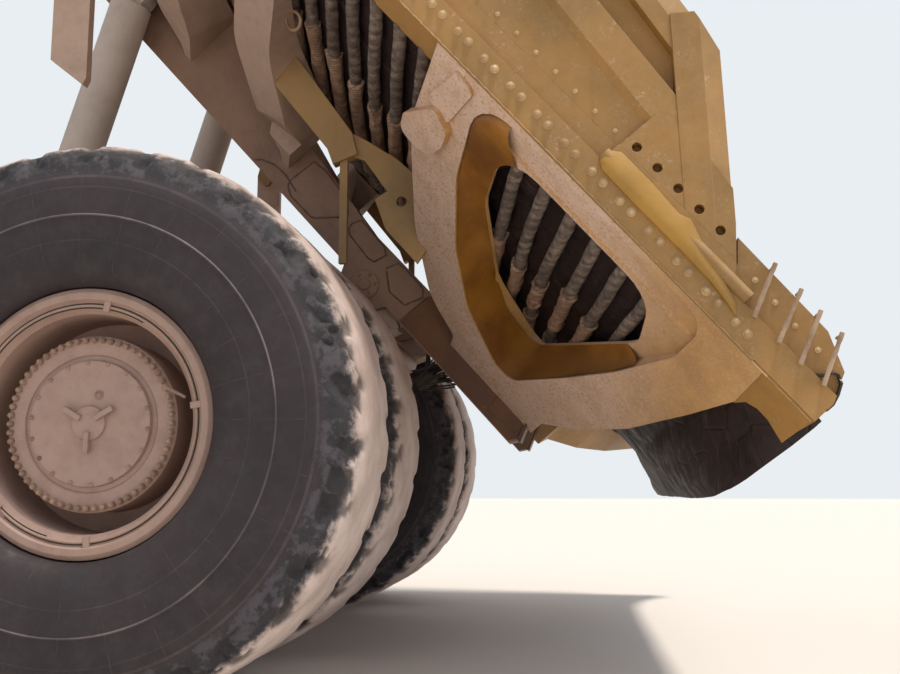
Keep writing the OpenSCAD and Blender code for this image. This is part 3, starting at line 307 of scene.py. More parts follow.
# %% [markdown]
# ## Rubber
# A tyre's sidewall is moulded, smooth and dark, with one raised ring that shows as a thin pale line. The
# shoulder is cut and chipped by rock, and the tread is worn bald and caked with pinkish dust. Three materials
# on three bands of faces would show hard borders. So one material measures the distance from the axle, with
# a ragged edge to each band, and reads how deep the rubber is cut from a number that the mesh keeps.

# %% Colour of the sidewall
TYRE_R = 1.91
MOULD_JOINTS = 28
# Raised rings of the mould: radius, half of the width, and how strongly each one shows
RINGS = [(1.372, 0.010, 0.7), (1.20, 0.006, 0.15), (1.565, 0.008, 0.12), (1.640, 0.014, 0.20)]


def sidewall_colour(add, radius, angle, clouds, patches):
    """Dark moulded rubber, with its raised rings and the faint joints between the mould's segments."""
    side = coats(add, srgb("#241e22"), (clouds, 0.35, 0.65, 0, 1, "#30272a"),
                 (patches, 0.48, 0.75, 0, 0.4, "#43383b"))
    for at, half, strength in RINGS:
        gap = add("Math", [add("Math", [radius, at], **LESS)], operation="ABSOLUTE")
        line = add("MapRange", [gap, half, half * 0.35], **SOFT)
        shows = add("MapRange", [clouds, 0.40, 0.62, 0.35 * strength, strength], **SOFT)
        side = add("Mix", [add("Math", [line, shows], **TIMES), side, srgb("#7c7274")], **COLOUR)
    joint = add("Math", [add("Math", [angle, MOULD_JOINTS / (2 * math.pi)], **TIMES)], operation="FRACT")
    joint = add("Math", [add("Math", [joint, 0.5], **LESS)], operation="ABSOLUTE")
    joint = add("MapRange", [joint, 0.485, 0.5], **SOFT)
    shows = add("MapRange", [patches, 0.45, 0.62, 0.0, 0.32], **SOFT)
    return add("Mix", [add("Math", [joint, shows], **TIMES), side, srgb("#716769")], **COLOUR)


# %% Tyre rubber
def tyre_rubber(name, axle):
    """Moulded and worn rubber round an axle that lies along Y through the point axle."""
    material, add, place = start_finish(name)
    flat = add("VectorMath", [add("VectorMath", [place, (axle.x, 0, axle.z)], **LESS), (1, 0, 1)], **TIMES)
    radius = add("VectorMath", [flat], out="Value", operation="LENGTH")
    parts = add("SeparateXYZ", [flat]).node.outputs
    angle = add("Math", [parts["X"], parts["Z"]], operation="ARCTAN2")
    # Clouds 0.6 m wide, chipped patches of 110 mm, and grit drawn at 11 mm so that it shows
    clouds = add("TexNoise", [place, 1.7, 8.0, 0.6])
    patches = add("TexNoise", [place, 9.0, 7.0, 0.72])
    grit = add("TexNoise", [place, 1 / (11 * MM), 5.0, 0.75])
    cut = add("Attribute", out="Fac", attribute_name="cut")

    # The chipped shoulder: patches and pale grit on the rubber, and the cuts kept dark as painted shade
    torn = coats(add, srgb("#1e1c21"), (patches, 0.44, 0.58, 0, 1, "#4d484e"),
                 (grit, 0.60, 0.78, 0, 0.32, "#7d706e"), (cut, 0.12, 0.55, 0, 1, "#211f22"))
    ragged = add("Math", [radius, add("Math", [patches, 0.22], **TIMES)], **PLUS)
    shoulder = add("MapRange", [ragged, 1.76, 1.82], **SOFT)
    colour = add("Mix", [shoulder, sidewall_colour(add, radius, angle, clouds, patches), torn], **COLOUR)
    # The tread: caked with dust, with less of it in the cuts, which stay dark as painted shade
    ragged = add("Math", [radius, add("Math", [patches, 0.16], **TIMES)], **PLUS)
    worn = add("MapRange", [ragged, 1.905, 1.975, 0.0, 0.94], **SOFT)
    worn = add("Math", [worn, add("MapRange", [cut, 0.75, 0.15, 0.25, 1.0], **SOFT)], **TIMES)
    tread = coats(add, srgb("#b7a39a"), (clouds, 0.36, 0.64, 0, 1, "#d6c5bc"),
                  (grit, 0.55, 0.75, 0, 0.5, "#7b6c67"))
    colour = add("Mix", [worn, colour, tread], **COLOUR)
    rough = add("MapRange", [patches, 0.30, 0.70, 0.55, 0.85], **SOFT)
    height = add("Math", [grit, add("MapRange", [radius, 1.60, 1.78, 0.12, 1.0], **SOFT)], **TIMES)
    end_finish(add, {"Strength": 0.7, "Distance": 6 * MM, "Height": height},
               {"Base Color": colour, "Roughness": rough, "IOR": 1.52})
    return material


rear_rubber = tyre_rubber("moulded tyre rubber, rear", REAR_AXLE)
front_rubber = tyre_rubber("moulded tyre rubber, front", FRONT_AXLE)
print("tyre radius", TYRE_R, "m, rear axle at", metres(REAR_AXLE))

# %% [markdown]
# The mat is calendered rubber sheet. Rock polishes it on top, and below it is dull and black, with pale
# scrapes along the direction that loads slide in. Its patterns lie in a frame turned with the raised body,
# so the scrapes run down the mat. The ropes under it are old haul ropes, 110 mm thick, and torn canvas
# sleeves still cover parts of them. Both are woven, so bands of waves at the width of a strand or thread
# show them well, and modelling each strand would cost far more faces than the eye can see.

# %% Mat rubber, rope and canvas
def mat_rubber(name, low, high, shine=0.36):
    """Calendered sheet rubber: near black, scraped along the body and dull with dust."""
    material, add, place = start_finish(name)
    turned = add("Mapping", {"Vector": place, "Rotation": (0, BED_ANGLE, 0)})
    scrapes = add("TexNoise", [add("Mapping", {"Vector": turned, "Scale": (1.2, 9.0, 5.0)}), 1.0, 6.0, 0.62])
    # Worn plates of rubber about 0.35 m across, with their edges lifted a little
    plates = add("TexVoronoi", {"Vector": turned, "Scale": 2.9}, feature="DISTANCE_TO_EDGE")
    plates = add("MapRange", [plates, 0.0, 0.05], **SOFT)
    patches = add("TexNoise", [place, 5.0, 8.0, 0.7])
    grit = add("TexNoise", [place, 1 / (14 * MM), 5.0, 0.7])
    colour = coats(add, srgb(low), (patches, 0.36, 0.62, 0, 1, high))
    colour = add("Mix", [add("MapRange", [plates, 0.0, 1.0, 0.5, 0.0]), colour, srgb("#0f0b0b")], **COLOUR)
    colour = coats(add, colour, (scrapes, 0.58, 0.74, 0, 0.45, "#6b5248"),
                   (grit, 0.62, 0.76, 0, 0.5, "#7e6c60"))
    rough = add("MapRange", [patches, 0.35, 0.65, shine, shine + 0.32], **SOFT)
    height = add("Math", [add("Math", [scrapes, plates], **PLUS), add("Math", [grit, 0.4], **TIMES)], **PLUS)
    end_finish(add, {"Strength": 0.6, "Distance": 8 * MM, "Height": height},
               {"Base Color": colour, "Roughness": rough, "IOR": 1.52})
    return material


def rope_lay(name, dark, light, weave_mm, relief_mm):
    """Laid rope or its canvas sleeve, by the width of a strand or thread and how far it stands out."""
    material, add, place = start_finish(name)
    slant = add("Mapping", {"Vector": place, "Rotation": (0, BED_ANGLE, 0)})
    strands = add("TexWave", {"Vector": slant, "Scale": 1 / (weave_mm * MM) / 6, "Distortion": 1.5,
                              "Detail": 2.0, "Detail Scale": 2.0}, bands_direction="DIAGONAL")
    fray = add("TexNoise", [place, 13.0, 7.0, 0.75])
    length = add("TexNoise", [place, 2.0, 3.0, 0.6])
    # The last layer darkens the dips between strands or threads: painted shade in the grooves
    mixed = coats(add, srgb(dark), (fray, 0.36, 0.64, 0, 1, light), (length, 0.42, 0.60, 0, 0.5, dark),
                  (strands, 0.55, 0.1, 0, 0.35, "#2b211c"))
    height = add("Math", [strands, fray], **PLUS)
    end_finish(add, {"Strength": 0.7, "Distance": relief_mm * MM, "Height": height},
               {"Base Color": mixed, "Roughness": 0.86})
    return material


sheet_rubber = mat_rubber("calendered sheet rubber", "#190f10", "#311f1e", 0.5)
hose_rubber = mat_rubber("hydraulic hose rubber", "#1c1a19", "#38332f", 0.3)
laid_rope = rope_lay("laid haul rope", "#5a4d47", "#9a8a7c", 45, 7)
torn_canvas = rope_lay("torn canvas sleeve", "#957560", "#ccad94", 12, 3)
print("rubber and rope:", sheet_rubber.name, "/", laid_rope.name, "/", torn_canvas.name)

# %% [markdown]
# ## Glass, vinyl and plastic
# The panes are toughened glass with a film of dust, so they are clear in places and cloudy in others. The
# seat is covered in embossed vinyl, and the console and lamp bodies are moulded with a pebbled grain. One
# function serves all the moulded ones, because only the colour, the gloss and the size of the grain differ.

# %% Glass, vinyl and plastic
def dusty_glass(name):
    """Toughened glass, clear and faintly green, with dust that clouds it in patches."""
    material, add, place = start_finish(name)
    film = add("TexNoise", [place, 3.0, 7.0, 0.65])
    specks = add("TexNoise", [place, 90.0, 3.0, 0.6])
    colour = coats(add, srgb("#dfe9e6"), (film, 0.4, 0.7, 0, 1, "#c9bfae"))
    rough = add("MapRange", [film, 0.4, 0.7, 0.03, 0.30], **SOFT)
    end_finish(add, {"Strength": 0.05, "Distance": 0.2 * MM, "Height": specks},
               {"Base Color": colour, "Roughness": rough, "IOR": 1.52, "Transmission Weight": 1.0})
    return material


def moulded(name, colour, light, grain_mm, rough):
    """Moulded plastic or embossed vinyl with a pebbled grain of grain_mm."""
    material, add, place = start_finish(name)
    pebbles = add("TexVoronoi", {"Vector": place, "Scale": 1 / (grain_mm * MM)}, out="Distance")
    wear = add("TexNoise", [place, 6.0, 6.0, 0.6])
    shade = coats(add, srgb(colour), (wear, 0.4, 0.7, 0, 1, light))
    rough = add("MapRange", [wear, 0.35, 0.65, rough, rough + 0.2], **SOFT)
    end_finish(add, {"Strength": 0.35, "Distance": 0.6 * MM, "Height": pebbles},
               {"Base Color": shade, "Roughness": rough, "IOR": 1.48})
    return material


pane_glass = dusty_glass("toughened glass with dust")
seat_vinyl = moulded("embossed seat vinyl", "#262524", "#3d3a37", 5, 0.5)
console_plastic = moulded("moulded console plastic", "#2f2f2d", "#4a4743", 4, 0.55)
lens_plastic = moulded("ribbed lamp lens", "#e9e6da", "#cfc5b2", 22, 0.18)
print("glass and plastic:", pane_glass.name, "/", seat_vinyl.name, "/", console_plastic.name)

# %% [markdown]
# ## Dress the solids
# Each solid keeps its shape and takes the finish of the real piece, through its material slot. The soft or
# worn ones, such as the tyres, the mat and the ropes, are made again further down with their real surface.

# %% Which finish goes on which solid
finishes = {
    dusty_plate: "main_frame front_collar front_bumper rear_axle front_struts deck arch_arms knuckle_left"
                 " knuckle_right steer_barrel_left steer_barrel_right ejector_left ejector_right",
    hoist_enamel: "hoist_barrel_left hoist_barrel_right",
    ochre_plate: "side_beams side_walls front_wall canopy radiator fuel_tank hydraulic_tank cab_shell"
                 " cab_door control_cabinet grid_box",
    rail_plate: "bed_rails",
    arm_plate: "ring_arms",
    tie_enamel: "bed_braces",
    wheel_paint: "rim_front_left rim_front_right rims_rear_left rims_rear_right",
    rail_enamel: "handrails ladders",
    black_enamel: "mirrors air_cleaners",
    rod_steel: "rear_struts tie_rod hoist_stage_left hoist_stage_right hoist_rod_left hoist_rod_right"
               " steer_rod_left steer_rod_right",
    engine_iron: "engine_block",
    pane_glass: "cab_glass door_glass",
    seat_vinyl: "cab_seat",
    console_plastic: "cab_console",
    lens_plastic: "headlamps",
    sheet_rubber: "rubber_mat",
    laid_rope: "ropes",
    front_rubber: "tyre_front_left tyre_front_right",
    rear_rubber: "tyres_rear_left tyres_rear_right",
}
dressed = set()
for finish, names in finishes.items():
    for name in names.split():
        slots = nodes[name].data.materials
        slots.clear()
        slots.append(finish)
        dressed.add(name)
print("dressed", len(dressed), "of", len(nodes), "solids; left:", sorted(set(nodes) - dressed))

# %% [markdown]
# ## Shapes that the detail is built from
# Bolts and nuts are turned, hoses and bars follow a path, and plates are cut from an outline. Blender's own
# cylinders would need one object each, and there are some 500 bolts. So the points and faces of all that
# belongs together are gathered in one place and made into a single piece, which rides on the solid that
# carries it. Each shape is a skin over loops of points, which keeps it closed and free of stray faces.

# %% Turned parts, bars and plates
CHAMFER_ANGLE = math.radians(38)


class Shape:
    """Points and faces gathered for one piece, in the truck's metres."""

    def __init__(self):
        self.points, self.faces, self.cuts = [], [], []

    def skin(self, loops, ends=True, around=True, along=False):
        """Skin over loops of equally many points, closed around and along where asked, with flat ends."""
        start, n, m = len(self.points), len(loops[0]), len(loops)
        for loop in loops:
            self.points.extend(loop)
        for k in range(m if along else m - 1):
            for i in range(n if around else n - 1):
                a, b = start + k * n + i, start + k * n + (i + 1) % n
                c, d = start + (k + 1) % m * n + (i + 1) % n, start + (k + 1) % m * n + i
                self.faces.append((a, b, c, d))
        if ends and around and not along:
            self.faces.append(tuple(range(start + n - 1, start - 1, -1)))
            self.faces.append(tuple(range(start + (m - 1) * n, start + m * n)))

    def turned(self, place, profile, sides=16, **closed):
        """A turned part: radius and height pairs along the z axis of the matrix place. closed says how the
        skin is closed where it isn't by flat ends."""
        angles = [2 * math.pi * i / sides for i in range(sides)]
        self.skin([[place @ Vector((r * math.cos(a), r * math.sin(a), h)) for a in angles]
                   for r, h in profile], **closed)

    def bar(self, path, radius, sides=10, ragged=0.0):
        """A round bar, hose or sleeve along a path. radius is one value or one for each point of the path,
        and ragged is how far a torn sleeve strays from it."""
        loops, side = [], Vector((0.31, 0.85, 0.42))
        for k, point in enumerate(path):
            ahead = (path[min(k + 1, len(path) - 1)] - path[max(k - 1, 0)]).normalized()
            side = (side - ahead * side.dot(ahead)).normalized()
            up = ahead.cross(side)
            r = radius[k] if isinstance(radius, list) else radius
            loop = []
            for i in range(sides):
                a = 2 * math.pi * i / sides
                jut = ragged * noise.noise(Vector((point.x * 9 + i * 0.9, point.y * 3, k * 2.3)))
                end = ahead * jut * 4 if k in (0, len(path) - 1) else Vector()
                loop.append(point + (side * math.cos(a) + up * math.sin(a)) * (r + jut) + end)
            loops.append(loop)
        self.skin(loops)

    def plate(self, place, outline, thick):
        """A flat plate: its outline in the x and y of the matrix place, and thick along z."""
        self.skin([[place @ Vector((x, y, z)) for x, y in outline] for z in (0, thick)])

    def make(self, name, finish, body, instead_of=()):
        """The piece itself, riding on a body, and standing for the solids named in instead_of."""
        mesh = bpy.data.meshes.new(name)
        mesh.from_pydata(self.points, [], self.faces)
        if self.cuts:
            mesh.attributes.new("cut", "FLOAT", "POINT").data.foreach_set("value", self.cuts)
        mesh.materials.append(finish)
        shell = bmesh.new()
        shell.from_mesh(mesh)
        bmesh.ops.recalc_face_normals(shell, faces=shell.faces)
        shell.to_mesh(mesh)
        shell.free()
        mesh.shade_smooth()
        mesh.set_sharp_from_angle(angle=CHAMFER_ANGLE)
        piece = bpy.data.objects.new(name, mesh)
        bpy.context.collection.objects.link(piece)
        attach(piece, body)
        if instead_of:
            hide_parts(*instead_of)
        triangles = sum(len(polygon.vertices) - 2 for polygon in mesh.polygons)
        print(f"{name}: {triangles} triangles on {body}")


print("edges sharper than", round(math.degrees(CHAMFER_ANGLE)), "degrees stay crisp")

# %% Places on the truck and even steps
SIDES = ((1, "left"), (-1, "right"))


def axis_place(point, towards, turn=0.0):
    """A matrix at point whose z axis looks towards."""
    aim = Vector(towards).to_track_quat("Z", "Y").to_matrix().to_4x4()
    return Matrix.Translation(point) @ aim @ Matrix.Rotation(turn, 4, "Z")


def in_bed(x, y, z):
    """A point of the body's own frame, x forward along its rails and z up from them, on the raised body."""
    c, s = math.cos(BED_ANGLE), math.sin(BED_ANGLE)
    return Vector((PIVOT.x + x * c - z * s, y, PIVOT.z + x * s + z * c))


def outward_place(x, y, z, side):
    """A place on the body's side that looks outward."""
    return axis_place(in_bed(x, side * y, z), (0, side, 0))


def on_circle(place, radius, height, count, start=0.0):
    """Places on a circle about the z axis of the matrix place."""
    for i in range(count):
        a = 2 * math.pi * i / count + start
        yield place @ Matrix.Translation((radius * math.cos(a), radius * math.sin(a), height))


def span(start, end, count):
    """count values from start to end, evenly spaced."""
    return [start + (end - start) * i / (count - 1) for i in range(count)]


def step(value, low, high):
    """A soft step from 0 at low to 1 at high."""
    t = min(1.0, max(0.0, (value - low) / (high - low)))
    return t * t * (3 - 2 * t)


def uneven(radius, change, turn, count):
    """Radii of a bar or bead that swells and shrinks by change along its path."""
    return [radius + change * math.sin(i * turn) for i in range(count)]


print("a point above the body's pivot:", metres(in_bed(0, 0, 1)))

# %% [markdown]
# ## Tyres
# Each tyre is turned from the section of its solid. The worn bars of the tread end in cuts across the
# shoulder, 30 on each side, and rock has torn chips of 30 to 150 mm from the edges. A bump can't show them,
# because they break the outline of the tyre, and a boolean for each cut is slow. So each point of the turned
# mesh moves inward by its own depth, which the mesh also keeps as a number for the rubber's colour.

# %% Section of a tyre, as pairs of radius and half width
BEAD = [(0.912, 0.470), (0.915, 0.528), (0.932, 0.572), (0.966, 0.606), (1.010, 0.634), (1.070, 0.657)]
WALL = [(1.170, 0.673), (1.290, 0.682), (1.366, 0.685), (1.372, 0.691), (1.379, 0.685), (1.480, 0.682),
        (1.570, 0.676), (1.640, 0.669), (1.655, 0.661), (1.700, 0.655), (1.740, 0.646)]
SHOULDER = [(1.775, 0.637), (1.805, 0.624), (1.832, 0.606), (1.856, 0.584), (1.876, 0.556), (1.890, 0.522),
            (1.899, 0.482), (1.904, 0.440), (1.908, 0.390)]
TREAD = [(TYRE_R, half_width) for half_width in (0.325, 0.250, 0.170, 0.085)]
HALF_SECTION = BEAD + WALL + SHOULDER + TREAD
SECTION = HALF_SECTION + [(TYRE_R, 0.0)] + [(r, -o) for r, o in reversed(HALF_SECTION)]
print("tyre section:", len(SECTION), "points, width", 2 * max(o for r, o in SECTION), "m")

# %% Six worn tyres
LUGS, POINTS_AROUND = 30, 300
# Depth of the cuts between lugs, of torn chips and of general roughness, and the depth kept as a full cut
LUG_CUT, TORN_CUT, ROUGH_CUT, FULL_CUT = 0.026, 0.034, 0.004, 0.040
# Half of the distance between the twin tyres of a side
DUAL_HALF = 0.81


def cut_depth(r, flat, angle, half_turn, rough):
    """How deep the rubber is cut at radius r and distance flat from the tyre's middle."""
    # How near this angle is to a cut across the shoulder, which slants toward the middle of the tread
    slant = (0.60 - flat) * 0.55
    lug = (angle * LUGS / (2 * math.pi) + half_turn + slant + 0.12 * rough) % 1.0
    near = 1 - step(abs(lug - 0.5), 0.10, 0.19)
    shoulder = step(r, 1.78, 1.86) * step(flat, 0.30, 0.46)
    groove = near * max(shoulder, 0.24 * step(r, 1.88, 1.90) * step(flat, 0.05, 0.2))
    torn = step(rough, 0.02, 0.30) * step(r, 1.70, 1.78) * step(flat, 0.46, 0.56)
    return LUG_CUT * groove + TORN_CUT * torn + ROUGH_CUT * rough * step(r, 1.66, 1.8)


def worn_tyre(shape, axle, middle_y, side, turn, seed):
    """One tyre about the axle, its middle at middle_y. side is 1 where its outer wall looks towards +Y."""
    loops = []
    for j in range(POINTS_AROUND):
        angle = 2 * math.pi * j / POINTS_AROUND + turn
        loop = []
        for r, offset in SECTION:
            flat, half_turn = abs(offset), 0.5 if offset < 0 else 0.0
            at = Vector((r * math.cos(angle) * 4 + seed, offset * 5, r * math.sin(angle) * 4))
            rough = noise.noise(at * 1.5) + 0.5 * noise.noise(at * 4.1)
            depth = cut_depth(r, flat, angle, half_turn, rough)
            inward = step(flat, 0.36, 0.60)
            radius = r - depth * (1 - 0.45 * inward)
            width = math.copysign(flat - depth * 0.8 * inward, offset)
            loop.append(Vector((axle.x + radius * math.cos(angle), middle_y + side * width,
                                axle.z + radius * math.sin(angle))))
            shape.cuts.append(max(0.0, min(1.0, depth / FULL_CUT)))
        loops.append(loop)
    shape.skin(loops, along=True)


def middle_of(name):
    """The middle of a solid's box along Y, in metres."""
    low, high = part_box(name)
    return (low[1] + high[1]) / 2


for side, word in SIDES:
    tyre = Shape()
    worn_tyre(tyre, FRONT_AXLE, middle_of("tyre_front_" + word), side, 0.4 * side, 3.0 + side)
    tyre.make("worn_tyre_front_" + word, front_rubber, "wheel_front_" + word, ["tyre_front_" + word])
    pair, pair_y = Shape(), middle_of("tyres_rear_" + word)
    for out in (1, -1):
        worn_tyre(pair, REAR_AXLE, pair_y + side * out * DUAL_HALF, side, 0.2 * out, 11.0 * side + out)
    pair.make("worn_tyres_rear_" + word, rear_rubber, "wheels_rear_" + word, ["tyres_rear_" + word])

# %% [markdown]
# ## The suspended mat
# Ropes run from beam to beam and carry the rubber mat, which sags between them. A cloth simulation would sag
# too, but it takes many steps to settle. One function for the height of the curve is enough, and the ropes,
# their sleeves and the mat all take their height from it, so nothing floats. The sleeves are torn pieces of
# 0.4 to 2.2 m, with ragged ends.

# %% Ropes with torn sleeves
MAT_EDGE_Y, MAT_MID_Z, MAT_EDGE_Z, MAT_T = 3.7997, 0.900, 1.570, 0.090
SAG_POWER = 1.7
ROPE_D, ROPE_PITCH, FIRST_ROPE, ROPES = 0.110, 0.267, -2.387, 29
SLEEVE_T, SLEEVE_POINTS = 0.007, 16


def mat_under(y, power=SAG_POWER, droop=0.0):
    """Height of the mat's underside above the body's rails."""
    return MAT_MID_Z - droop + (MAT_EDGE_Z - MAT_MID_Z + droop) * (abs(y) / MAT_EDGE_Y) ** power


def wander(rope, y):
    """How far a rope strays sideways at y."""
    return 0.020 * noise.noise(Vector((rope * 3.1, y * 1.3, 0)))


ropes, sleeves = Shape(), Shape()
chance = random.Random(7)
for i in range(ROPES):
    x, drop = FIRST_ROPE + i * ROPE_PITCH, ROPE_D / 2 * 1.05
    path = []
    for y in span(-MAT_EDGE_Y, MAT_EDGE_Y, 56):
        path.append(in_bed(x + wander(i, y) * step(MAT_EDGE_Y - abs(y), 0.0, 0.5), y, mat_under(y) - drop))
    ropes.bar(path, uneven(ROPE_D / 2 * 0.97, ROPE_D / 2 * 0.05, 2.2, len(path)), 12)
    for side in (-1, 1):
        near, far = chance.uniform(0.25, 0.7), chance.uniform(2.15, 2.62)
        # The five ropes at the tail have their sleeves torn in two
        pieces = [(near, far)] if i > 4 else [(near, 1.35 + chance.uniform(-0.3, 0.3)), (1.75, far)]
        for start, end in pieces:
            path, radii = [], []
            for k, y in enumerate(span(start, end, SLEEVE_POINTS)):
                flare = 0.013 * max(0.0, 1 - min(k, SLEEVE_POINTS - 1 - k) / 1.6)
                path.append(in_bed(x + wander(i, side * y), side * y, mat_under(y) - drop - 0.004))
                radii.append(ROPE_D / 2 + SLEEVE_T + flare + 0.006 * noise.noise(Vector((i * 2.7, y * 6, 4))))
            sleeves.bar(path, radii, 12, ragged=0.016)
ropes.make("haul_ropes", laid_rope, "bed", ["ropes"])
sleeves.make("canvas_sleeves", torn_canvas, "bed")

# %% [markdown]
# The mat itself is one sheet, 90 mm thick, laid on the ropes. Its loose tail flattens in the middle and its
# edge is frayed. Two rows of points, one under it and one on top, make a loop at each of 92 stations along
# the body, and a little noise gives it the waves of loaded rubber.

# %% Rubber mat
# Stations along the body, with the power and droop of the curve there
MAT_CURVES = [(5.66, SAG_POWER, 0.0), (-2.90, SAG_POWER, 0.0), (-3.27, 4.0, 0.02), (-3.50, 8.0, 0.04)]
MAT_FRONT, MAT_TAIL = MAT_CURVES[0][0], MAT_CURVES[-1][0]


def mat_curve(x):
    """Power and droop of the mat's curve at x."""
    for (x0, p0, d0), (x1, p1, d1) in zip(MAT_CURVES, MAT_CURVES[1:]):
        if x >= x1:
            t = (x0 - x) / (x0 - x1)
            return p0 + (p1 - p0) * t, d0 + (d1 - d0) * t
    return MAT_CURVES[-1][1:]


mat, loops = Shape(), []
for x in span(MAT_FRONT, -2.7, 72) + span(-2.75, MAT_TAIL, 20):
    power, droop = mat_curve(x)
    thin = 0.012 * step(-x, 3.40, 3.50)
    under, top = [], []
    for y in span(-MAT_EDGE_Y, MAT_EDGE_Y, 60):
        free = step(MAT_EDGE_Y - abs(y), 0.0, 0.35)
        wave = 0.010 * noise.noise(Vector((x * 1.7, y * 1.2, 2))) * free
        wave += 0.004 * noise.noise(Vector((x * 9, y * 7, 5))) * free
        frayed = 0.022 * step(-x, 3.45, 3.5) * max(0.0, noise.noise(Vector((3, y * 3.3, 9))))
        under.append(in_bed(x + frayed, y, mat_under(y, power, droop) + max(-0.001, wave) + thin))
        top.append(in_bed(x + frayed, y, mat_under(y, power, droop) + MAT_T + wave - thin))
    loops.append(under + top[::-1])
mat.skin(loops)
mat.make("loaded_mat", sheet_rubber, "bed", ["rubber_mat"])

# %% [markdown]
# ## Wheels: nuts, bolts, lock rings and valves
# A planetary hub is closed by a ring of 60 nuts with a bolted cover inside it. The rim is held by a lock
# ring, whose split shows as dark lines of painted shade, with small clips across them. A front wheel has a
# plain ring of nuts round the cap of its bearing. Each fastener is turned from a short profile, washer first:
# a turned part with six sides makes the nut, and 12 sides are round enough for a domed head of this size.

# %% Nuts, bolts and places round an axle
DOMED = [(1.0, 0.0), (1.0, 0.35), (0.86, 0.72), (0.5, 0.96), (0.12, 1.04)]


def nut(shape, place, radius, height, washer=1.35):
    """A six-sided nut on a round washer, with the bolt's end standing out of it."""
    shape.turned(place, [(radius * washer, -0.004), (radius * washer, height * 0.15)], 14)
    shape.turned(place, [(radius, 0.0), (radius, height * 0.85), (radius * 0.84, height)], 6)
    end = radius * 0.55
    shape.turned(place, [(end, 0.0), (end, height * 1.12), (radius * 0.42, height * 1.2)], 10)


def domed_bolt(shape, place, radius, height, washer=1.3):
    """A round-headed bolt on its washer."""
    wide = radius * washer
    shape.turned(place, [(wide, -0.004), (wide, 0.004), (wide * 0.93, 0.006)], 18)
    shape.turned(place, [(radius * r, height * h) for r, h in DOMED], 12)


def around(centre, side, radius, count, start=0.0):
    """Places on a circle about the axle, each looking outward."""
    for i in range(count):
        angle = 2 * math.pi * i / count + start
        spoke = Vector((radius * math.cos(angle), 0, radius * math.sin(angle)))
        yield axis_place(centre + spoke, (0, side, 0), angle)


def ring_of(centre, side, radius, start=0.0, end=2 * math.pi, steps=96):
    """Points along a circle about the axle, from start to end, one millimetre proud of centre."""
    return [centre + Vector((radius * math.cos(a), side * MM, radius * math.sin(a)))
            for a in span(start, end, steps)]


print("a domed head has", len(DOMED), "rings")

# %% Wheel fittings
# From a tyre's middle out to its rim's edge, and from that edge in to the lock ring and to the hub's face
RIM_EDGE_Y, RING_IN, HUB_IN = 0.520, 0.030, 0.160
HUB_R = 0.600
# Circles of the lock ring: its two splits in painted shade with their start and end angles, and the bar
# between them
SPLITS, RING_BAR_R = ((0.800, 0.35, 5.4), (0.772, -1.3, 2.1)), 0.786
CLIP_R, CLIP_ANGLES = 0.788, (0.52, 1.75, 3.0, 4.62, 5.5)
CLIP_L, CLIP_W, CLIP_T = 0.072, 0.044, 0.022
VALVE_R, VALVE_ANGLE = 0.70, 2.9


def rear_hub(face, side, word):
    """The ring of 60 nuts, and the cover inside it with its bolts and its drain plug."""
    nuts, caps = Shape(), Shape()
    for place in around(face, side, HUB_R - 0.030, 60):
        nut(nuts, place, 0.021, 0.034, 1.1)
    cover = face + Vector((0, side * 0.025, 0))
    for place in around(cover, side, HUB_R - 0.187, 18, 0.1):
        domed_bolt(caps, place, 0.013, 0.013, 1.25)
    domed_bolt(caps, axis_place(cover + Vector((-0.06, 0, 0.19)), (0, side, 0)), 0.022, 0.018, 1.5)
    nuts.make("hub_nuts_rear_" + word, stud_steel, "wheels_rear_" + word)
    caps.make("cover_bolts_rear_" + word, stud_steel, "wheels_rear_" + word)


def lock_ring(rim, side, word):
    """The ring's split as two dark lines of painted shade, clips across it, and the valve stem that leans out
    over the rim.
    """
    gap, clips = Shape(), Shape()
    # These dark bars are painted shade in the ring's split
    for radius, start, end in SPLITS:
        gap.bar(ring_of(rim, side, radius, start, end), 0.005, 6)
    clips.bar(ring_of(rim, side, RING_BAR_R, steps=120), 0.010, 8)
    outline = [(0, 0), (CLIP_L, 0), (CLIP_L, CLIP_W), (0, CLIP_W)]
    for at in CLIP_ANGLES:
        middle = rim + Vector((CLIP_R * math.cos(at), 0, CLIP_R * math.sin(at)))
        tilt = axis_place(middle, (0, side, 0)) @ Matrix.Rotation(-at * side, 4, "Z")
        clips.plate(tilt @ Matrix.Translation((-CLIP_L / 2, -CLIP_W / 2, -0.002)), outline, CLIP_T)
    foot = rim + Vector((VALVE_R * math.cos(VALVE_ANGLE), -side * 0.06, VALVE_R * math.sin(VALVE_ANGLE)))
    stem = [foot + Vector((0.02 * k, side * (0.02 * k + 0.001 * k * k), 0.012 * k)) for k in range(6)]
    clips.bar(stem, 0.011, 8)
    gap.make("lock_ring_split_shade_rear_" + word, dark_iron_and_split_shade, "wheels_rear_" + word)
    clips.make("lock_ring_clips_rear_" + word, wheel_paint, "wheels_rear_" + word)


def front_hub(face, side, word):
    """A ring of 20 nuts, and the eight bolts of the bearing's cap."""
    nuts = Shape()
    for place in around(face, side, 0.400, 20):
        nut(nuts, place, 0.024, 0.036)
    for place in around(face + Vector((0, side * 0.060, 0)), side, 0.20, 8):
        domed_bolt(nuts, place, 0.016, 0.014)
    nuts.make("hub_nuts_front_" + word, stud_steel, "wheel_front_" + word)


for side, word in SIDES:
    outer_y = middle_of("tyres_rear_" + word) + side * DUAL_HALF
    rear_hub(Vector((REAR_AXLE.x, outer_y + side * (RIM_EDGE_Y - HUB_IN), REAR_AXLE.z)), side, word)
    lock_ring(Vector((REAR_AXLE.x, outer_y + side * (RIM_EDGE_Y - RING_IN), REAR_AXLE.z)), side, word)
    front_y = middle_of("tyre_front_" + word)
    front_hub(Vector((FRONT_AXLE.x, front_y + side * 0.300, FRONT_AXLE.z)), side, word)

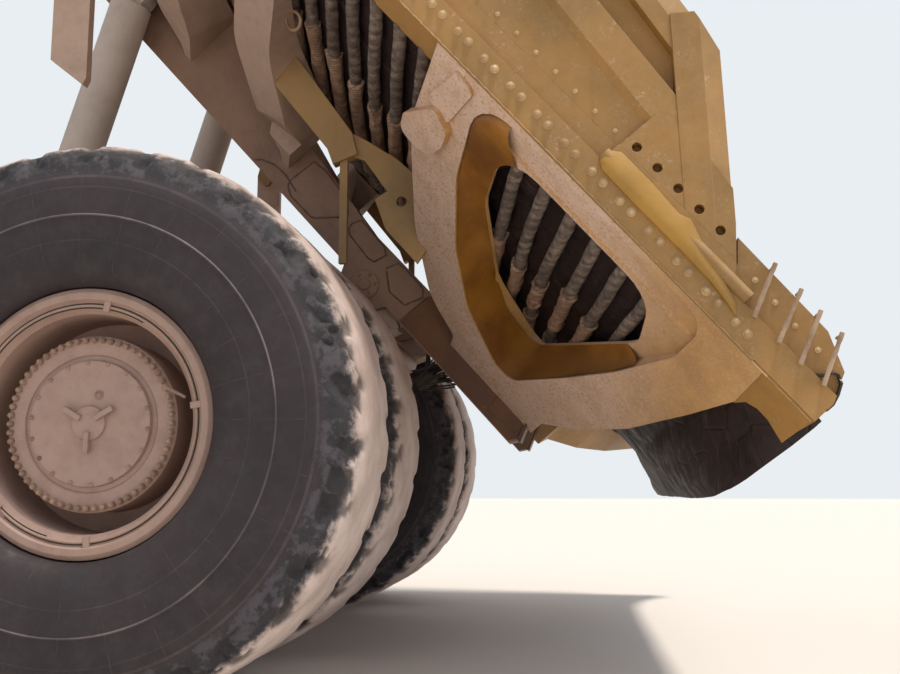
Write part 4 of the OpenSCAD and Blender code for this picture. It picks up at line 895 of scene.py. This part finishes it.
# %% [markdown]
# ## Side beams: bolts, washers, weld and rolled edges
# The ropes are clamped by pairs of bolts along both side beams, 274 mm from pair to pair. Smaller pins hold
# the liner to the web above, a rolled strip covers the joint below the gusset plate, and four rods stand
# across the tail's web. An array modifier could repeat the bolts, but the row bends down toward the tail,
# and a loop can follow the bend.

# %% Bolts, pins and weld of the side beams
BEAM_Y, BEAM_END, PAIR_PITCH = 4.100, 5.70, 0.2735
# The liner's pins stand on the web, which lies this far inside the beam's face
WEB_IN, PIN_PITCH = 0.050, 0.196
TAIL_PINS = ((-2.538, 1.931), (-2.730, 1.919), (-2.925, 1.903), (-3.133, 1.898))


def beam_bolts(side, word):
    """Pairs of bolts that clamp the ropes. Behind x = 0.35 their row falls by 17 mm in each metre."""
    heads = Shape()
    for i in range(-11, 20):
        x = 0.301 + PAIR_PITCH * i
        z = 1.690 + min(0.0, x - 0.35) * 0.0174
        for off in (-0.054, 0.054):
            domed_bolt(heads, outward_place(x + off, BEAM_Y, z, side), 0.024, 0.024, 1.35)
    heads.make("beam_bolts_" + word, bolt_steel, "bed")


def liner_pins(side, word):
    """The row of small pins above the bolts, and four more that step down at the tail."""
    pins = Shape()
    for i in range(-6, 28):
        place = outward_place(-0.002 + PIN_PITCH * i, BEAM_Y - WEB_IN, 1.977, side)
        domed_bolt(pins, place, 0.012, 0.012, 1.5)
    for x, z in TAIL_PINS:
        domed_bolt(pins, outward_place(x, BEAM_Y - WEB_IN, z, side), 0.014, 0.012, 1.5)
    pins.make("liner_pins_" + word, bolt_steel, "bed")


def beam_weld(side, word):
    """The bead of weld along the beam's lower edge."""
    weld = Shape()
    beads = [in_bed(x, side * (BEAM_Y + 0.002), 1.542 + 0.0015 * math.sin(x * 61))
             for x in span(-2.9, BEAM_END, 420)]
    weld.bar(beads, uneven(0.009, 0.0015, 2.1, len(beads)), 6)
    weld.make("beam_weld_" + word, ochre_plate, "bed")


for side, word in SIDES:
    beam_bolts(side, word)
    liner_pins(side, word)
    beam_weld(side, word)

# %% Rolled strip, flange and rods at the tail
# The strip at each station along the body: lower edge, upper edge and how far it stands out
STRIP = [(-1.255, 1.765, 1.790, 0.006), (-1.275, 1.735, 1.855, 0.032), (-1.33, 1.708, 1.895, 0.042),
         (-1.62, 1.702, 1.893, 0.042), (-1.89, 1.702, 1.875, 0.042), (-1.97, 1.702, 1.905, 0.042),
         (-2.13, 1.702, 1.850, 0.040), (-2.36, 1.697, 1.787, 0.034), (-2.56, 1.672, 1.728, 0.020),
         (-2.62, 1.660, 1.680, 0.006)]
# Its rolled section, as shares of how far it stands out and of its height
ROLLED = [(-0.2, 0), (0.55, 0.03), (0.9, 0.14), (1.0, 0.32), (0.95, 0.5), (0.72, 0.78), (0.45, 0.97),
          (-0.2, 1)]
# The beam's lower face slopes inward. FLANGE gives places on it, along the body and across from its edge
SLOPE, BEAM_FOOT_Z = math.radians(24.4), 1.530
FLANGE = [(-3.00, 0.0), (-3.035, 0.47), (-3.08, 0.36), (-3.16, 0.318), (-3.26, 0.322), (-3.435, 0.392),
          (-3.425, 0.0)]
FLANGE_T = 0.026
# Upper and lower end of each rod across the tail's web, as x and z
TAIL_RODS = [((-2.55, 2.075), (-2.71, 1.73)), ((-2.78, 2.075), (-2.93, 1.73)),
             ((-2.96, 2.065), (-3.12, 1.73)), ((-3.15, 2.060), (-3.31, 1.74))]


def rolled_strip(side, word):
    """A strip whose upper edge steps up at the gusset's end and then falls to a point."""
    strip = Shape()
    strip.skin([[in_bed(x, side * (BEAM_Y + out * o), low + (high - low) * h) for o, h in ROLLED]
                for x, low, high, out in STRIP])
    strip.make("rolled_strip_" + word, rail_enamel, "bed")


def tail_flange(side, word):
    """The flange of the slope under the beam's tail."""
    flange = Shape()
    flange.skin([[in_bed(x, side * (BEAM_Y - t * math.cos(SLOPE) - deep * math.sin(SLOPE)),
                         BEAM_FOOT_Z - t * math.sin(SLOPE) + deep * math.cos(SLOPE)) for x, t in FLANGE]
                 for deep in (0.0, FLANGE_T)])
    flange.make("tail_flange_" + word, ochre_plate, "bed")


def tail_rods(side, word):
    """Four rods across the tail's web, each on two short feet."""
    rods = Shape()
    for (x0, z0), (x1, z1) in TAIL_RODS:
        top, bottom = in_bed(x0, side * (BEAM_Y + 0.050), z0), in_bed(x1, side * (BEAM_Y + 0.045), z1)
        rods.bar([top.lerp(bottom, t) for t in span(0, 1, 10)], uneven(0.016, 0.002, 2.4, 10), 8)
        for t in (0.06, 0.94):
            foot = top.lerp(bottom, t)
            rods.bar([foot, foot - Vector((0, side * 0.11, 0))], 0.012, 8)
    rods.make("tail_rods_" + word, pin_steel, "bed")


for side, word in SIDES:
    rolled_strip(side, word)
    tail_flange(side, word)
    tail_rods(side, word)

# %% [markdown]
# ## Ring arms: the curved wall round each opening
# Each ring arm is a box, and a curved sheet joins the edge of the large opening in its face to the smaller
# opening in its inner plate. The two openings have different outlines, so a plain bridge between their edges
# would twist. Instead a ray from one middle point finds both edges at each angle, and a curve of three
# points joins them. The sheet shows its clean ochre paint, because splash doesn't reach it.

# %% Outlines of the two openings
# Corners as x, y and radius. The first outline lies on the slope and is measured from the beam's edge
RING_HOLE = [(-0.330, 0.070, 0.330), (-0.400, 1.050, 0.700), (-0.640, 1.840, 0.700), (-0.980, 2.420, 0.600),
             (-1.620, 2.880, 0.200), (-2.020, 2.020, 0.600), (-2.300, 1.350, 0.600), (-2.540, 0.600, 0.400),
             (-2.540, 0.070, 0.200)]
INNER_HOLE = [(-0.655, 3.775, 0.380), (-0.640, 2.900, 0.900), (-1.050, 1.300, 0.250), (-1.520, 1.130, 0.150),
              (-2.275, 3.180, 0.300), (-2.150, 3.775, 0.300)]
MIDDLE = Vector((-1.42, 2.60))


def rounded(corners, steps=10):
    """The outline of corners given as x, y and radius, with an arc at each corner."""
    outline, n = [], len(corners)
    for i, (x, y, radius) in enumerate(corners):
        here = Vector((x, y))
        back, ahead = Vector(corners[i - 1][:2]) - here, Vector(corners[(i + 1) % n][:2]) - here
        half = back.angle(ahead) / 2
        reach = radius / math.tan(half)
        middle = here + (back.normalized() + ahead.normalized()).normalized() * radius / math.sin(half)
        first, last = here + back.normalized() * reach - middle, here + ahead.normalized() * reach - middle
        turn = first.angle_signed(last)
        outline += [middle + Matrix.Rotation(-turn * t, 2) @ first for t in span(0, 1, steps)]
    return outline


def leaving(outline, middle, angle):
    """Where a ray from middle at an angle leaves a closed outline."""
    ray = Vector((math.cos(angle), math.sin(angle)))
    best = None
    for a, b in zip(outline, outline[1:] + outline[:1]):
        edge, start = b - a, a - middle
        across = ray.x * edge.y - ray.y * edge.x
        if abs(across) > 1e-9:
            along = (start.x * edge.y - start.y * edge.x) / across
            share = (start.x * ray.y - start.y * ray.x) / across
            if along > 0 and -1e-6 <= share <= 1 + 1e-6 and (best is None or along > best):
                best = along
    return middle + ray * best


hole = [Vector((p.x, BEAM_Y - p.y * math.cos(SLOPE))) for p in rounded(RING_HOLE)]
inner = rounded(INNER_HOLE)
print("outlines:", len(hole), "points outside and", len(inner), "inside")

# %% Wall sheets
# The arms' upper side follows the ropes in two straight runs, which meet at BEND_Y and end at WALL_Y
RUN_Y, BEND_Y, WALL_Y = 2.3, 3.0, 3.8
# The sheet starts this far outside the opening's edge, and stops short of the cut through the arm's face
LAP, CUT_GAP = 0.014, 0.015


def ceiling(y):
    """Height of the arms' upper side under the ropes."""
    slope = SAG_POWER * (MAT_EDGE_Z - MAT_MID_Z) / MAT_EDGE_Y * (RUN_Y / MAT_EDGE_Y) ** (SAG_POWER - 1)
    under = ROPE_D * 1.045 + 0.012
    bend = mat_under(RUN_Y) - under + slope * (BEND_Y - RUN_Y)
    if y < BEND_Y:
        return bend - slope * (BEND_Y - y)
    return bend + (MAT_EDGE_Z - under - bend) * (y - BEND_Y) / (WALL_Y - BEND_Y)


def wall_row(angle):
    """Three points of the sheet's curve at an angle: on the face, at its knee and on the inner plate."""
    low, high = leaving(hole, MIDDLE, angle), leaving(inner, MIDDLE, angle)
    out = (low - MIDDLE).normalized() * LAP
    face_z = BEAM_FOOT_Z - (BEAM_Y - low.y) * math.tan(SLOPE) + 0.012
    start = Vector((low.x - out.x, low.y - out.y, face_z))
    rise = ceiling(high.y) - 0.034 - start.z
    # The cut through the arm's face stands square to the beam, so the wall may not reach past it
    edge = start + Vector((0, -math.tan(SLOPE), 1)) * rise
    reach = min((high - MIDDLE).length, (edge.xy - MIDDLE).length - CUT_GAP)
    end = MIDDLE + (high - MIDDLE).normalized() * reach
    knee = start + Vector((0, -math.sin(SLOPE), math.cos(SLOPE))) * rise * 0.92
    return start, knee, Vector((end.x, end.y, start.z + rise))


for side, word in SIDES:
    sheet, loops = Shape(), []
    for angle in span(math.radians(62), math.radians(-208), 150):
        start, knee, end = wall_row(angle)
        row = [start * (1 - u) ** 2 + knee * (2 * u * (1 - u)) + end * u * u for u in span(0, 1, 9)]
        loops.append([in_bed(point.x, side * point.y, point.z) for point in row])
    sheet.skin(loops, ends=False, around=False)
    sheet.make("ring_wall_" + word, ochre_clean, "bed")

# %% [markdown]
# ## Body rails
# The body's rails carry three welded patches, and clean plates close their tails. They are thin plates cut
# from an outline, lifted a few millimetres off the rail so that no two faces share a plane, and a bead of
# weld with an uneven width runs round each. A bump could draw the patches, but their edges catch light.

# %% Plates and welds on the rails
RAIL_Y = 1.200
RAIL_TAIL = [(-0.500, 0.012), (-0.520, 0.395), (-1.915, 0.425), (-2.065, 0.092), (-2.020, 0.012)]
TAIL_PANEL = [(-1.690, 0.060), (-1.640, 0.300), (-1.905, 0.372), (-2.000, 0.110)]
TAIL_EDGE = [(-2.112, 0.085), (-1.938, 0.452), (-1.918, 0.443), (-2.090, 0.076)]
PATCHES = [[(-0.030, 0.255), (-0.070, 0.375), (-0.230, 0.388), (-0.410, 0.384), (-0.480, 0.325),
            (-0.415, 0.150), (-0.220, 0.130)],
           [(0.516, 0.249), (0.533, 0.300), (0.498, 0.392), (0.145, 0.380), (0.074, 0.342),
            (0.103, 0.212), (0.173, 0.195), (0.465, 0.217)],
           [(1.261, 0.093), (1.285, 0.141), (1.264, 0.440), (1.122, 0.462), (0.743, 0.425),
            (0.635, 0.340), (0.681, 0.249), (0.824, 0.085), (0.866, 0.056), (1.163, 0.049)]]
WELD_LINE = [(-0.500, 0.020), (-0.503, 0.140), (-0.512, 0.390)]
SEAM = [(1.160, 0.115), (1.370, 0.150), (1.520, 0.135), (1.645, 0.080), (1.700, 0.020)]
PIVOT_COVER = [(0.140, 0.0), (0.140, 0.012), (0.134, 0.018), (0.060, 0.020), (0.054, 0.030), (0.020, 0.032)]


def on_rail(shape, outline, side, low, high):
    """A plate on a rail's outer side, from low to high above it."""
    shape.skin([[in_bed(x, side * (RAIL_Y + off), z) for x, z in outline] for off in (low, high)])


def rail_tail(side, word):
    """The clean plate at the rail's tail with a smaller panel on it and the plate closing its end, in painted
    shade.
    """
    tail = Shape()
    on_rail(tail, RAIL_TAIL, side, -0.004, 0.007)
    on_rail(tail, TAIL_PANEL, side, 0.006, 0.013)
    tail.skin([[in_bed(x, side * y, z) for x, z in TAIL_EDGE] for y in (0.862, RAIL_Y + 0.055)])
    tail.make("rail_tail_plates_" + word, tail_enamel_painted_shade, "bed")


def rail_patches(side, word):
    """The welded patches, and the bolted cover of the body's pivot pin."""
    patch = Shape()
    for outline in PATCHES:
        on_rail(patch, outline, side, -0.003, 0.008)
    outside = outward_place(0, RAIL_Y + 0.002, 0, side)
    patch.turned(outside, PIVOT_COVER, 36)
    for place in on_circle(outside, 0.102, 0.019, 6):
        domed_bolt(patch, place, 0.013, 0.012)
    patch.make("rail_patch_" + word, rail_plate, "bed")


def rail_welds(side, word):
    """Beads round the patches and the panel, and along two seams, darker than the rail as painted groove
    shade.
    """
    welds = Shape()
    for line in [outline + outline[:1] for outline in PATCHES + [TAIL_PANEL]] + [SEAM, WELD_LINE]:
        seam = [in_bed(x, side * (RAIL_Y + 0.007), z) for x, z in line]
        path = [a.lerp(b, t) for a, b in zip(seam, seam[1:]) for t in span(0, 0.9, 8)]
        welds.bar(path, uneven(0.008, 0.002, 2.0, len(path)), 6)
    welds.make("rail_welds_" + word, weld_groove_shade, "bed")


for side, word in SIDES:
    rail_tail(side, word)
    rail_patches(side, word)
    rail_welds(side, word)

# %% [markdown]
# ## Hoists and lifting rings
# Each hoist has a gland with a ring of bolts at the mouth of its barrel, where the seal sits, and a cover
# over its upper pin. The gland is turned as a closed ring, because a disc would be cut by the stage that
# slides through it. It rides on the barrel, and the cover rides on the body. A lifting ring is welded inside
# each rear arch arm.

# %% Hoists
GLAND_DOWN = 1.875
GLAND = [(0.199, 0.0), (0.222, 0.004), (0.226, 0.012), (0.226, 0.070), (0.218, 0.080), (0.172, 0.084),
         (0.168, 0.076), (0.199, 0.074)]
HOIST_PIN_Y = 1.588
HOIST_COVER = [(0.125, 0.0), (0.125, 0.022), (0.118, 0.028), (0.060, 0.030), (0.056, 0.052), (0.045, 0.056)]
SMALL_BOLT = [(0.010, 0.0), (0.010, 0.012), (0.008, 0.014)]


def hoist_gland(side, word):
    """The gland at the barrel's mouth, GLAND_DOWN below the upper pin, with 12 bolts."""
    down = Vector(joints["hoist_stage_slide_" + word]["axis"]).normalized()
    if down.z > 0:
        down = -down
    mouth = axis_place(Vector(joints["hoist_swing_" + word]["pos_m"]) + down * GLAND_DOWN, down)
    gland = Shape()
    gland.turned(mouth, GLAND, 48, along=True)
    for place in on_circle(mouth, 0.197, 0.081, 12):
        gland.turned(place, SMALL_BOLT, 6)
    gland.make("hoist_gland_" + word, hoist_enamel, "hoist_barrel_" + word)


def hoist_pin_cover(side, word):
    """The bolted cover of the hoist's upper pin."""
    pin = Vector(joints["hoist_swing_" + word]["pos_m"])
    outside = axis_place(Vector((pin.x, side * HOIST_PIN_Y, pin.z)), (0, side, 0))
    cover = Shape()
    cover.turned(outside, HOIST_COVER, 36)
    for place in on_circle(outside, 0.094, 0.028, 6):
        domed_bolt(cover, place, 0.013, 0.013)
    cover.make("hoist_pin_cover_" + word, hoist_enamel, "bed")


def lifting_ring(side, word):
    """A ring of bar inside the rear arch arm, leaning with the arm's inner plate."""
    middle = in_bed(1.740, side * 2.650, 1.080)
    ahead = (in_bed(1, 0, 0) - in_bed(0, 0, 0)).normalized()
    across = (Vector((0, side * 0.55, 0)) + (in_bed(0, 0, 1) - in_bed(0, 0, 0)) * 0.8).normalized()
    ring = Shape()
    ring.bar([middle + (ahead * math.cos(a) + across * math.sin(a)) * 0.078
              for a in span(0, 2 * math.pi, 29)], 0.015, 10)
    ring.make("lifting_ring_" + word, pin_steel, "bed")


for side, word in SIDES:
    hoist_gland(side, word)
    hoist_pin_cover(side, word)
    lifting_ring(side, word)

# %% [markdown]
# ## Torn wires, tail flaps and the door handle
# A torn bunch of wires hangs from a bar between the tyres. The wires are stiff, so each is a short bar with
# one bend, and a seeded random source gives the same tangle each time. A strip of rubber is folded over each
# beam's tail. The door's handle is a bar on two stand-offs, with a lock below it.

# %% Torn wires
WIRES = 46
wires = Shape()
chance = random.Random(11)
bar_top, bar_end = in_bed(-0.800, 0.900, 0.075), in_bed(-0.965, 0.900, -0.110)
wires.bar([bar_top.lerp(bar_end, t) for t in span(0, 1, 6)], 0.022, 8)
knot = bar_end + Vector((0, 0, -0.05))
for i in range(WIRES):
    start = knot + Vector((chance.uniform(0.0, 0.16), chance.uniform(-0.10, 0.10),
                           chance.uniform(-0.16, 0.04)))
    aim = Vector((-0.85 + chance.uniform(-0.25, 0.25), chance.uniform(-0.35, 0.35),
                  chance.uniform(-0.05, 0.75))).normalized()
    bend = Vector((chance.uniform(-0.06, 0.06), 0, chance.uniform(-0.06, 0.03)))
    length = chance.uniform(0.16, 0.46)
    path = [start + aim * length * t + bend * t * t for t in span(0, 1, 5)]
    wires.bar(path, chance.uniform(0.005, 0.011), 6)
bundle = [knot + Vector((0.10 - 0.17 * t, 0.0, -0.10 + 0.10 * t)) for t in span(0, 1, 5)]
wires.bar(bundle, [0.07, 0.085, 0.08, 0.085, 0.06], 12)
wires.make("torn_wires", dark_iron_and_split_shade, "bed")

# %% Tail flaps
FLAP_PATH = [(-3.20, 1.740), (-3.27, 1.800), (-3.29, 1.850), (-3.33, 1.872), (-3.38, 1.842), (-3.42, 1.780),
             (-3.445, 1.715), (-3.44, 1.655)]
FLAP_Y, FLAP_T = 4.035, 0.014
for side, word in SIDES:
    flap, loops = Shape(), []
    for k, (x, z) in enumerate(FLAP_PATH):
        (x0, z0), (x1, z1) = FLAP_PATH[max(k - 1, 0)], FLAP_PATH[min(k + 1, len(FLAP_PATH) - 1)]
        thick = FLAP_T / 2 / math.hypot(x1 - x0, z1 - z0)
        nx, nz = -(z1 - z0) * thick, (x1 - x0) * thick
        wide = 0.055 + 0.02 * math.sin(k * 1.9)
        loops.append([in_bed(x + s * nx, side * (FLAP_Y + e * wide), z + s * nz)
                      for s, e in ((-1, -1), (1, -1), (1, 1), (-1, 1))])
    flap.skin(loops)
    flap.make("torn_flap_" + word, hose_rubber, "bed")

# %% Door handle
HANDLE_OUT, HANDLE_L = 0.036, 0.22
door_low = Vector(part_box("cab_door")[0])
door_face = joints["cab_door_swing"]["pos_m"][1] - 0.024
grip_at = Vector((door_low.x + 0.085, door_face, door_low.z + 0.62))
grip = Shape()
grip.bar([grip_at + Vector((0, HANDLE_OUT, z)) for z in span(0, HANDLE_L, 6)],
         [0.009, 0.012, 0.013, 0.013, 0.012, 0.009], 10)
for z in (0.015, HANDLE_L - 0.015):
    grip.bar([grip_at + Vector((0, y, z)) for y in (-0.002, HANDLE_OUT)], 0.009, 10)
    domed_bolt(grip, axis_place(grip_at + Vector((0.03, 0, z)), (0, 1, 0)), 0.008, 0.007)
lock = axis_place(grip_at + Vector((0, 0, -0.08)), (0, 1, 0))
grip.turned(lock, [(0.022, -0.002), (0.022, 0.008), (0.018, 0.011), (0.006, 0.011)], 20)
grip.make("door_handle", pin_steel, "cab_door")

# %% [markdown]
# ## Lamps and bumper
# Each lamp sits in a turned bezel with four screws and two guard bars, and two rows of bolts hold the
# bumper. The bezel is turned without ends, so that the lens shows through it.

# %% Lamps and bumper
LAMP_Y, LAMP_Z, LAMP_R = (2.500, 2.850), 1.600, 0.110
BOLT_Y, BOLT_Z = (0.30, 0.60, 1.10, 1.70, 2.15, 3.15, 3.40), (1.345, 1.860)
RIM = LAMP_R + 0.018
BEZEL = [(RIM, -0.03), (RIM, 0.010), (RIM + 0.006, 0.014), (RIM + 0.030, 0.010), (RIM + 0.032, -0.003)]
bumper_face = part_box("front_bumper")[1][0]
bezels, bumper_bolts = Shape(), Shape()
for side in (1, -1):
    for y in LAMP_Y:
        place = axis_place(Vector((bumper_face, side * y, LAMP_Z)), (1, 0, 0))
        bezels.turned(place, BEZEL, 40, ends=False)
        for off in (-0.045, 0.045):
            bezels.bar([place @ Vector((x, off, 0.012)) for x in span(-RIM - 0.01, RIM + 0.01, 8)], 0.006, 8)
        for screw in on_circle(place, RIM + 0.019, 0.012, 4, math.pi / 4):
            domed_bolt(bezels, screw, 0.006, 0.005)
    for y in BOLT_Y:
        for z in BOLT_Z:
            domed_bolt(bumper_bolts, axis_place(Vector((bumper_face, side * y, z)), (1, 0, 0)), 0.020, 0.018)
bezels.make("lamp_bezels", black_enamel, "chassis")
bumper_bolts.make("bumper_bolts", bolt_steel, "chassis")

# %% [markdown]
# ## Studio
# A plain pale floor takes the shadow and throws light up under the body. The key light comes from above, a
# little from the tail, and a weaker light, almost level, comes from behind the tail and brightens the tread.
# Both are wide discs, so that their shadows have soft edges. The world is dimmer as a lamp than it looks:
# rays from the camera, and those that glass and metal send on, see the pale backdrop, and all others see
# the fill.

# %% Floor, backdrop and lights
def studio_floor(name):
    """Matt pale floor, even and plain."""
    material, add, place = start_finish(name)
    add("OutputMaterial", [add("BsdfPrincipled", {"Base Color": srgb("#ddd8d1"), "Roughness": 0.9})])
    return material


FLOOR_HALF = 160
corners = [(x * FLOOR_HALF, y * FLOOR_HALF, 0) for x, y in ((-1, -1), (1, -1), (1, 1), (-1, 1))]
floor_mesh = bpy.data.meshes.new("floor")
floor_mesh.from_pydata(corners, [], [(0, 1, 2, 3)])
floor_mesh.materials.append(studio_floor("matt studio floor"))
floor = bpy.data.objects.new("floor", floor_mesh)
floor.location.z = min(0.0, cad_low[2]) - 0.002
bpy.context.collection.objects.link(floor)

world = bpy.data.worlds.new("studio")
bpy.context.scene.world = world
world.use_nodes = True
tree = world.node_tree
tree.nodes.clear()
seen = put(tree, "LightPath", out="Is Camera Ray")
for ray in ("Is Glossy Ray", "Is Transmission Ray"):
    seen = put(tree, "Math", [seen, put(tree, "LightPath", out=ray)], operation="MAXIMUM")
fill = put(tree, "Background", [srgb("#e9ebf4"), 0.62])
backdrop = put(tree, "Background", [srgb("#e9eef2"), 1.0])
put(tree, "OutputWorld", [put(tree, "MixShader", [seen, fill, backdrop])])


def soft_light(name, along, strength, spread, colour):
    """A distant lamp with a disc spread degrees wide, whose light travels along the vector along."""
    lamp = bpy.data.lights.new(name, "SUN")
    lamp.energy, lamp.angle, lamp.color = strength, math.radians(spread), srgb(colour)[:3]
    lamp_object = bpy.data.objects.new(name, lamp)
    lamp_object.rotation_euler = Vector(along).to_track_quat("-Z", "Y").to_euler()
    bpy.context.collection.objects.link(lamp_object)


soft_light("key", (0.22, -0.12, -1.0), 3.0, 9, "#fff5e8")
soft_light("side", (0.95, -0.18, -0.22), 0.85, 50, "#f4eff0")
bpy.context.scene.view_settings.view_transform = "Standard"
print("studio ready, floor at", round(floor.location.z, 3), "m")
